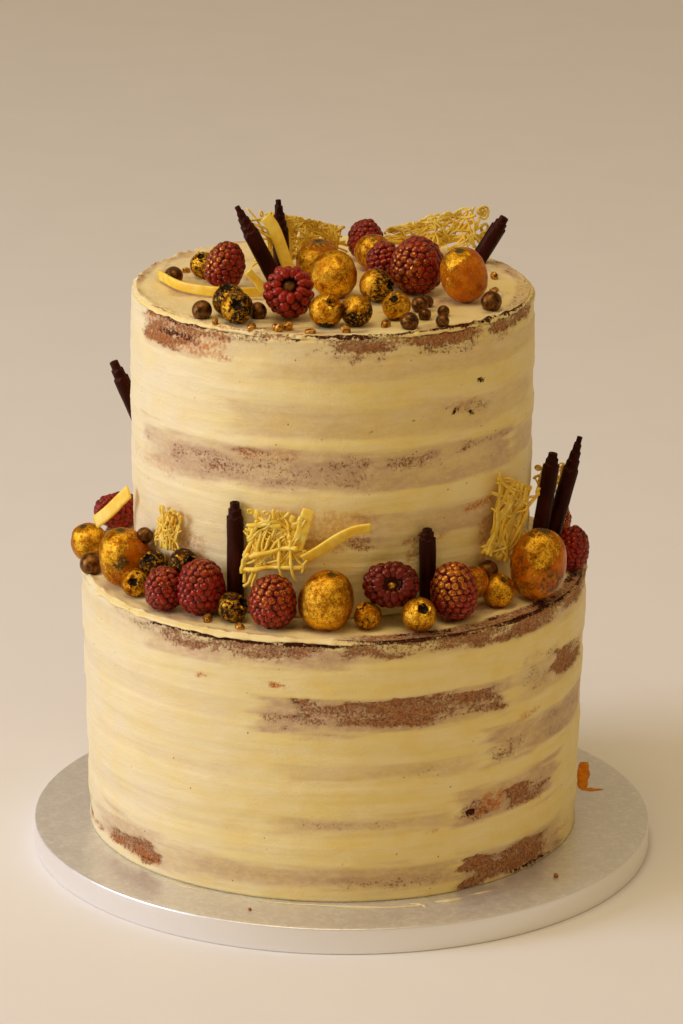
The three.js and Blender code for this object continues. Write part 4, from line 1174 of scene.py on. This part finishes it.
def placed_roll(base, tip, tip_length, blunt, seed):
    """A roll from where it enters the icing, and a little below, to its tip."""
    base, tip = np.array(base), np.array(tip)
    length = np.linalg.norm(tip - base)
    way = (tip - base) / length
    made = roll(length + ROLL_SINK, tip_length, blunt, seed)
    return made.moved(upright_to(way), base - way * ROLL_SINK)


def make_rolls():
    rolls = [
        ("top_roll_left", (-27, 4, 234), (-43.6, 3, 266.5), 12, False),
        ("top_roll_middle", (-25.4, 18, 234), (-27.4, 19, 265.5), 12, False),
        ("top_roll_right", (53, 41.5, 234), (64.4, 41.5, 253.5), 5, True),
        ("ledge_roll_left", (-42.2, -69.6, 120), (-42.6, -69.4, 166), 6, True),
        ("ledge_roll_middle", (33.3, -69, 120), (32.5, -68.8, 155.5), 4, True),
        ("ledge_roll_back", (-70, 72, 120), (-96.8, 71, 183), 8, True),
    ]
    for i, (name, base, tip, tip_length, blunt) in enumerate(rolls):
        made = placed_roll(base, tip, tip_length, blunt, i + 1)
        piece(f"{name}_chocolate", made, DARK, [name])
    pair = joined(
        placed_roll((77, -10, 120), (83.8, -10, 169), 5, True, 8),
        placed_roll((81, -6.4, 120), (95, 0, 173), 14, False, 9))
    piece("ledge_rolls_right_chocolate", pair, DARK, ["ledge_rolls_right"])


STRIP_THICKNESS = 1.3
STRIP_SIDES = 12
STRIP_STEPS = 34


def strip(points, width, face):
    """A shaved strip of white chocolate along a curve, its width across the way it faces."""
    path = smooth_path(points, STRIP_STEPS)
    along = np.gradient(path, axis=0)
    along /= np.linalg.norm(along, axis=1, keepdims=True)
    across = np.cross(np.asarray(face, float), along)
    across /= np.linalg.norm(across, axis=1, keepdims=True)
    out = np.cross(along, across)
    section = []
    for k in range(STRIP_SIDES):
        turn = (k + 0.5) / STRIP_SIDES * 2 * math.pi
        x = np.sign(math.cos(turn)) * abs(math.cos(turn)) ** 0.35
        y = np.sign(math.sin(turn)) * abs(math.sin(turn)) ** 0.55
        section.append((x * width / 2, y * STRIP_THICKNESS / 2))
    rows = []
    for i in range(len(path)):
        wave = 0.08 * math.sin(3 * i / (len(path) - 1) * math.pi)
        rows.append([path[i] + across[i] * (x + wave) + out[i] * y for x, y in section])
    made = Shape(rows, grid_faces(len(path), STRIP_SIDES))
    made.faces += end_caps(len(path), STRIP_SIDES)
    made.marks["stain"] = np.zeros(len(made.points))
    return made


def sheet_place(x, z, width, height, seed, wave, bend, peak, fold):
    """Where a point of a flat nest goes once the nest is waved, folded, bent and raised at one side."""
    ripple = wave * np.sin(0.45 * x + 0.2 * z + seed) * np.cos(0.3 * z)
    ripple = ripple + fold * (np.abs(((x + 0.18 * z + seed) / 4.6) % 2 - 1) - 0.5)
    hollow = x ** 2 / (2 * bend) if bend else 0
    return np.stack([x, ripple + hollow, z + peak * (x / width) * (z / height)], -1)


# The bend of a nest that leans on the upper tier's side
WALL_BEND = 84


class Nest:
    """A net of white chocolate threads. Points are across, up and out of the net, in millimetres."""

    def __init__(self, width, height, seed, wave, bend=0, peak=0, fold=0.0, stain=0.0):
        self.size = width, height
        self.warp = (width, height, seed, wave, bend, peak, fold)
        self.random = np.random.default_rng(seed)
        self.between = self.random.uniform
        self.stain = stain
        self.made = Shape(marks={"stain": np.zeros(0)})

    def thread(self, path, thick, flat=0.8):
        path = np.asarray(path, float)
        place = sheet_place(path[:, 0], path[:, 1], *self.warp)
        place[:, 1] -= 0.7 + path[:, 2]
        thicks = thick * (1 + 0.14 * np.sin(np.linspace(0, 9, len(path)) + self.between(0, 6)))
        line = tube(place, thicks, 6, flat)
        line.marks["stain"] = np.full(len(line.points), self.stain * self.between(0, 1))
        self.made.add(line)

    def wavy(self, start, end, thick, sag, sway, out):
        """One thread from start to end, given as across and up, with a sag and a hand's unsteadiness."""
        t = np.linspace(0, 1, 20)
        start, end = np.array(start, float), np.array(end, float)
        path = start + (end - start) * t[:, None]
        normal = np.array([-(end - start)[1], (end - start)[0]]) / (np.linalg.norm(end - start) + 1e-9)
        bow = sag * np.sin(math.pi * t)
        bow = bow + sway * np.sin(t * self.between(5, 13) + self.between(0, 6))
        path = path + normal * bow[:, None]
        depth = out + self.between(-0.3, 0.3) + 0.3 * np.sin(t * self.between(3, 8))
        self.thread(np.concatenate([path, depth[:, None]], 1), thick)

    def backing(self, count, way, spread, wide):
        """Wide flat runs behind the threads, which fill most of the gaps."""
        width, height = self.size
        for _ in range(count):
            turn = math.radians(way + self.between(-spread, spread))
            reach = 0.5 * math.hypot(width, height) * self.between(0.4, 0.8)
            x, z = width * self.between(-0.34, 0.34), height * self.between(0.15, 0.85)
            t = np.linspace(-1, 1, 14)
            across = np.clip(x + t * reach * math.cos(turn), -0.47 * width, 0.47 * width)
            up = np.clip(z + t * reach * math.sin(turn), 0.02 * height, 0.97 * height)
            depth = -0.55 + 0.2 * np.sin(3 * t + self.between(0, 6))
            self.thread(np.stack([across, up, depth], 1), 0.5 * wide * self.between(0.8, 1.2), 0.3)

    def tangle(self, count, way, spread, thick, long=(0.5, 1.0), out=0.0, sway=0.7):
        """Threads over the whole net, running about the given way in degrees, 0 being across."""
        width, height = self.size
        for _ in range(count):
            turn = math.radians(way + self.between(-spread, spread))
            reach = math.hypot(width, height) * self.between(*long) / 2
            x, z = width * self.between(-0.42, 0.42), height * self.between(0.06, 0.94)
            ends = []
            for sign in (-1, 1):
                far_x = np.clip(x + sign * reach * math.cos(turn), -width / 2 - 0.4, width / 2 + 0.4)
                far_z = np.clip(z + sign * reach * math.sin(turn), -0.4, height + 0.6)
                ends.append((far_x, far_z))
            thickness = thick * self.between(0.75, 1.25)
            self.wavy(*ends, thickness, self.between(-1, 1), sway, out)

    def loops(self, count, where, size=(0.8, 1.8), thick=0.5):
        """Curls along an edge: where is top, left, right or all."""
        width, height = self.size
        for _ in range(count):
            side = self.random.choice(["top", "left", "right"]) if where == "all" else where
            if side == "top":
                x, z = width * self.between(-0.48, 0.48), height + self.between(-1.2, 0.2)
            else:
                x, z = (-0.5 if side == "left" else 0.5) * width, height * self.between(0.1, 0.95)
            turn = np.linspace(0, self.between(4.5, 6.8), 14) + self.between(0, 6)
            big = self.between(*size)
            tall = self.between(0.6, 1.1)
            curl = [x + big * np.cos(turn), z + big * tall * np.sin(turn), 0.4 * np.sin(turn)]
            path = np.stack(curl, 1)
            self.thread(path, thick * self.between(0.8, 1.2))


# Threads that stand out of the front nest, as (start, end, thickness, sag, sway, how far out)
FRONT_THREADS = [
    ((-14.0, -2.0), (12.6, 1.2), 1.0, 0.5, 0.2, 0.9), ((-9.8, 3.6), (9.6, 9.0), 1.0, 0.8, 0.15, 1.0),
    ((-12.2, -7.0), (-5.4, 15.0), 0.85, 2.8, 0.2, 0.7), ((-13.0, -3.4), (-10.2, 5.0), 0.9, 1.2, 0.2, 0.9),
    ((-12.0, -8.5), (-8.4, -1.5), 0.8, -0.8, 0.2, 0.8), ((-8.6, -8.5), (-6.4, -1.5), 0.6, 0.6, 0.2, 0.7),
    ((-6.6, 5.0), (-5.2, 15.0), 0.6, 0.3, 0.15, 0.8), ((-4.4, 6.0), (-2.0, 13.0), 0.55, -0.4, 0.15, 0.9),
    ((4.6, -8.0), (1.8, 12.0), 0.62, 0.8, 0.15, 1.1), ((9.0, -5.0), (6.4, 12.0), 0.62, 0.9, 0.2, 1.0),
    ((11.4, -1.0), (12.8, 4.2), 0.6, 0.4, 0.2, 0.9), ((-9.6, 15.8), (2.6, 17.0), 1.0, 0.9, 0.3, 0.5),
    ((-3.2, 15.4), (-0.4, 23.4), 0.7, -0.6, 0.3, 0.4), ((-8.6, 13.6), (-2.0, 19.5), 0.8, 0.8, 0.3, 0.4),
    ((-10.8, 10.6), (-7.8, 18.4), 1.0, -0.7, 0.3, 0.4), ((-6.0, 19.0), (6.0, 15.6), 0.8, 1.0, 0.3, 0.3),
]


def front_nest():
    """The net beside the left roll: two bold bars low down, a curved left edge and fine threads."""
    net = Nest(24, 22, 21, 0.7, WALL_BEND, 0, 0.5, 0.2)
    net.backing(9, 86, 26, 3.0)
    net.backing(6, 20, 24, 2.6)
    net.tangle(8, 90, 26, 0.5, (0.4, 0.7), -0.1, 0.3)
    net.tangle(8, 35, 30, 0.5, (0.4, 0.7), 0.0, 0.3)
    net.tangle(6, 150, 26, 0.5, (0.3, 0.6), 0.1, 0.3)
    for thread in FRONT_THREADS:
        net.wavy(*thread)
    net.tangle(5, 70, 40, 0.45, (0.2, 0.5), 0.6, 0.3)
    net.loops(6, "all", (0.6, 1.2), 0.5)
    return net.made


def crumpled_nest(width, height, seed, wave, bend=0, peak=0, fold=1.6, stain=0.2, rich=1.0, thick=0.6):
    """A nest squashed into standing folds, its threads close and running mostly up the folds."""
    net = Nest(width, height, seed, wave, bend, peak, fold, stain)
    count = rich * width
    net.backing(int(0.5 * count), 86, 10, 2.6)
    net.tangle(int(0.7 * count), 84, 10, 1.2 * thick, (0.5, 1.0), 0.2, 0.3)
    net.tangle(int(0.35 * count), 60, 26, 0.8 * thick, (0.4, 0.8), 0.4, 0.5)
    net.tangle(int(0.3 * count), 0, 20, 0.8 * thick, (0.4, 0.9), 0.5, 0.5)
    net.tangle(int(0.2 * count), 130, 25, 0.75 * thick, (0.4, 0.8), 0.6, 0.5)
    net.loops(int(0.4 * count), "top", (0.6, 1.3), 0.75 * thick)
    return net.made


def lacy_nest(width, height, seed, wave, peak, stain=0.1):
    """A long low nest of open lace: curls and slanting threads that stand up at its high end."""
    net = Nest(width, height, seed, wave, 0, peak, 0.8, stain)
    net.backing(6, 8, 12, 2.2)
    net.tangle(11, 0, 12, 0.62, (0.35, 0.7), 0, 0.6)
    net.tangle(20, 62, 20, 0.52, (0.24, 0.42), 0.2, 0.4)
    net.tangle(15, 115, 20, 0.52, (0.24, 0.42), 0.4, 0.4)
    net.loops(26, "top", (0.9, 2.2), 0.5)
    net.loops(9, "right", (0.9, 2.0), 0.5)
    net.loops(5, "left", (0.7, 1.6), 0.5)
    return net.made


def placed(shape, place, turn, lean, tip=0):
    """A shape tipped to its side, leant back, turned about z and set in its place."""
    return shape.moved(turned("z", turn) @ turned("x", lean) @ turned("y", tip), place)


def leaning(shape, angle, reach, z, lean, tip=0):
    """A shape set at an angle and reach from the axis of the upper tier, leaning on its side."""
    x, y = around(UPPER["centre"], angle, reach)
    return placed(shape, (x, y, z), angle, lean, tip)


def make_white_chocolate():
    front = (0, -1, 0)
    curl = joined(
        strip([(-75, 8, 237), (-67, -8, 237), (-57, -15.5, 237), (-44, -19.2, 237), (-33, -18, 237)],
              4, (0.2, -1, 0)),
        strip([(-32.6, -18.4, 237.4), (-35, -19.2, 241.5), (-38.6, -20, 246)], 3.2, front))
    flat = strip([(-22.6, 6, 239.5), (-26, 7, 249), (-29.4, 9, 257), (-32.4, 10, 260.6)], 5, front)
    left = placed(crumpled_nest(42, 16, 11, 1.4, 0, -12, 1.8, 0.3, 1.0, 0.62), (-19, 37, 237), 28, -14)
    right = placed(lacy_nest(40, 12, 5, 1.6, 9), (37, 52, 237.8), 4, -20)
    middle = joined(
        leaning(front_nest(), -14.6, 86.4, 142, -3),
        strip([(-18.4, -79.6, 150), (-16, -79.2, 158), (-13.6, -78.8, 166)], 5, front),
        strip([
            (-15.6, -79.8, 146), (-10, -80.4, 149.5), (-2.3, -80.6, 155),
            (4, -80.2, 158), (10.4, -79.4, 159),
        ], 5, (0, -1, -0.6)))
    small = crumpled_nest(14.5, 15, 31, 0.8, WALL_BEND, 0, 1.4, 0.9, 1.3, 0.6)
    tall = crumpled_nest(29, 31, 41, 0.9, WALL_BEND, 0, 2.4, 0.7, 0.9, 0.7)
    far = crumpled_nest(15, 12, 51, 0.9, 0, 0, 1.2, 0.3, 1.2, 0.6)
    pieces("chocolate", WHITE, {
        "top_curl": curl,
        "top_strip": flat,
        "top_nest_left": left,
        "top_nest_right": right,
        "ledge_nest_front": middle,
        "ledge_nest_left": leaning(small, -49.2, 84.8, 140.6, -4),
        "ledge_nest_right": leaning(tall, 50.6, 85.8, 136.6, -3, 26),
        "ledge_nest_far_right": placed(far, (86, 32, 139), 0, 0),
        "ledge_strip": strip([(-100.4, -8, 137.6), (-96, -10.5, 142), (-91, -14, 148), (-86.4, -19, 154)],
                             5.6, (-0.5, -1, 0.6)),
    })


# Board

def make_board():
    """The foil-covered board, its edges rounded above and below."""
    corner = np.radians(np.linspace(0, 90, 5))
    steep, flat = BOARD_EDGE * (1 - np.sin(corner)), BOARD_EDGE * (1 - np.cos(corner))
    low = list(zip(BOARD_RADIUS - steep, flat))
    high = list(zip(BOARD_RADIUS - flat, BOARD_THICKNESS - steep))
    profile = [(0.05, 0), (60, 0)] + low + [(BOARD_RADIUS, 4), (BOARD_RADIUS, 7)] + high
    profile += [(r, BOARD_THICKNESS) for r in np.linspace(BOARD_RADIUS - 3, 0.05, 14)]
    board = lathe(profile, BOARD_SEGMENTS)
    away = np.hypot(board.points[:, 0], board.points[:, 1])
    board.marks["side"] = step(BOARD_RADIUS - 0.5, BOARD_RADIUS - 0.1, away)
    piece("board_foil", board, FOIL, ["board"])


def make_scraps():
    """Cream smeared on the board along the foot of the cake, a few crumbs, and a smear of orange gel."""
    level = BOARD_THICKNESS + 0.12
    up = (0, 0, 1)
    steps = 26

    def line(places, widths, flat):
        path = smooth_path([(x, y, level) for x, y in places], steps)
        sizes = np.interp(np.linspace(0, 1, steps), np.linspace(0, 1, len(widths)), widths)
        sizes = sizes * (1 + 0.12 * np.sin(np.linspace(0, 17, steps)))
        return tube(path, sizes, 8, flat, up)

    smears = joined(
        line([
            (-36, -98), (-20, -101.6), (-4, -103.4), (10, -104.6), (20, -104.4), (30, -102.6), (34, -101.2),
        ], [0.1, 0.5, 0.7, 0.9, 0.7, 0.5, 0.1], 0.35),
        line([(27, -100.4), (31, -101.4), (33.4, -103.6)], [0.2, 0.7, 0.1], 0.5),
        line([(37, -98.6), (41, -98), (44.6, -96.8), (48, -94.4)], [0.2, 1.3, 1.0, 0.2], 0.6),
        line([(50, -91.6), (55, -89), (60, -86)], [0.1, 0.6, 0.1], 0.4),
        line([(-70, -78), (-62, -84.6), (-52, -90.8)], [0.1, 0.6, 0.1], 0.4),
        line([(60, 84), (48, 91.6), (34, 97.6)], [0.1, 0.9, 0.2], 0.4),
        line([(-94, 44), (-98.6, 34), (-101, 24)], [0.1, 0.7, 0.1], 0.4))
    smears.marks["pale"] = np.ones(len(smears.points))
    piece("board_smears", smears, CREAM)

    crumbs = Shape(marks={"crumb": np.zeros(0), "stain": np.zeros(0)})
    for x, y, size in [(85.7, -71.4, 2.0), (-35.7, -108, 1.5), (-70, 92, 1.6), (40, 104, 1.2)]:
        crumb = ball_shape((size / 2, size / 2, size * 0.4), 10, 7)
        crumb.points *= (1 + 0.28 * lumps(crumb.points, 0.7, int(200 + x)))[:, None]
        crumb.marks["crumb"] = np.ones(len(crumb.points))
        crumb.marks["stain"] = np.ones(len(crumb.points))
        crumbs.add(crumb.moved(None, (x, y, BOARD_THICKNESS + 0.3 * size)))
    piece("board_crumbs", crumbs, SPONGE)

    gel = joined(
        line([(103.4, 58), (102.4, 48), (101.6, 36), (101, 27)], [1.6, 3.0, 2.6, 1.8], 0.06),
        line([(100.6, 27), (105, 25.6), (110, 26.2)], [1.6, 1.8, 0.2], 0.06))
    gel.marks["stain"] = np.ones(len(gel.points))
    piece("board_gel", gel, GEL)


# Stage, in metres

FLOOR_REACH = 60.0
WORLD_STRENGTH = 0.42
LIT_PLACE = (0, 0, 0.13)


def make_stage():
    """A plain pale floor under a soft, even sky."""
    mesh = bpy.data.meshes.new("floor")
    corners = [(x * FLOOR_REACH, y * FLOOR_REACH, 0) for x, y in [(-1, -1), (1, -1), (1, 1), (-1, 1)]]
    mesh.from_pydata(corners, [], [(0, 1, 2, 3)])
    mesh.materials.append(floor_material())
    floor = bpy.data.objects.new("floor", mesh)
    bpy.context.scene.collection.objects.link(floor)
    world = bpy.data.worlds.new("studio")
    world.use_nodes = True
    background = world.node_tree.nodes["Background"]
    background.inputs["Color"].default_value = linear("#ffdeb0")
    background.inputs["Strength"].default_value = WORLD_STRENGTH
    bpy.context.scene.world = world
    bpy.context.scene.view_settings.view_transform = "Standard"


def make_light(name, place, power, size, colour):
    """A soft square lamp that faces the cake."""
    data = bpy.data.lights.new(name, "AREA")
    data.energy, data.size, data.color = power, size, linear(colour)[:3]
    lamp = bpy.data.objects.new(name, data)
    bpy.context.scene.collection.objects.link(lamp)
    away = np.array(place) - LIT_PLACE
    lamp.matrix_world = Matrix.Translation(place) @ Matrix(upright_to(away).tolist()).to_4x4()


def make_camera():
    """The camera at the photo's viewing angle."""
    data = bpy.data.cameras.new("camera")
    data.sensor_fit, data.sensor_height, data.lens = "VERTICAL", SENSOR, CAMERA_LENS
    camera = bpy.data.objects.new("camera", data)
    bpy.context.scene.collection.objects.link(camera)
    place = Matrix.Translation([c * MM for c in CAMERA_PLACE])
    tilt = Matrix.Rotation(math.radians(90 - CAMERA_PITCH), 4, "X")
    camera.matrix_world = place @ tilt @ Matrix.Rotation(math.radians(CAMERA_ROLL), 4, "Z")
    bpy.context.scene.camera = camera


make_camera()
make_stage()
make_light("key", place=(-2.35, -0.5, 0.9), power=44, size=1.1, colour="#dbe1ff")
make_light("overhead", place=(-0.4, -0.4, 2.0), power=13.5, size=1.1, colour="#ffe9c4")
make_board()
make_scraps()
make_tier(LOWER)
make_tier(UPPER)
make_pearls("top_pearls", UPPER["top"], TOP_PEARLS, TOP_NUGGETS)
make_pearls("ledge_pearls", LOWER["top"], LEDGE_PEARLS, LEDGE_NUGGETS)
make_top_fruit()
make_ledge_fruit()
make_rolls()
make_white_chocolate()
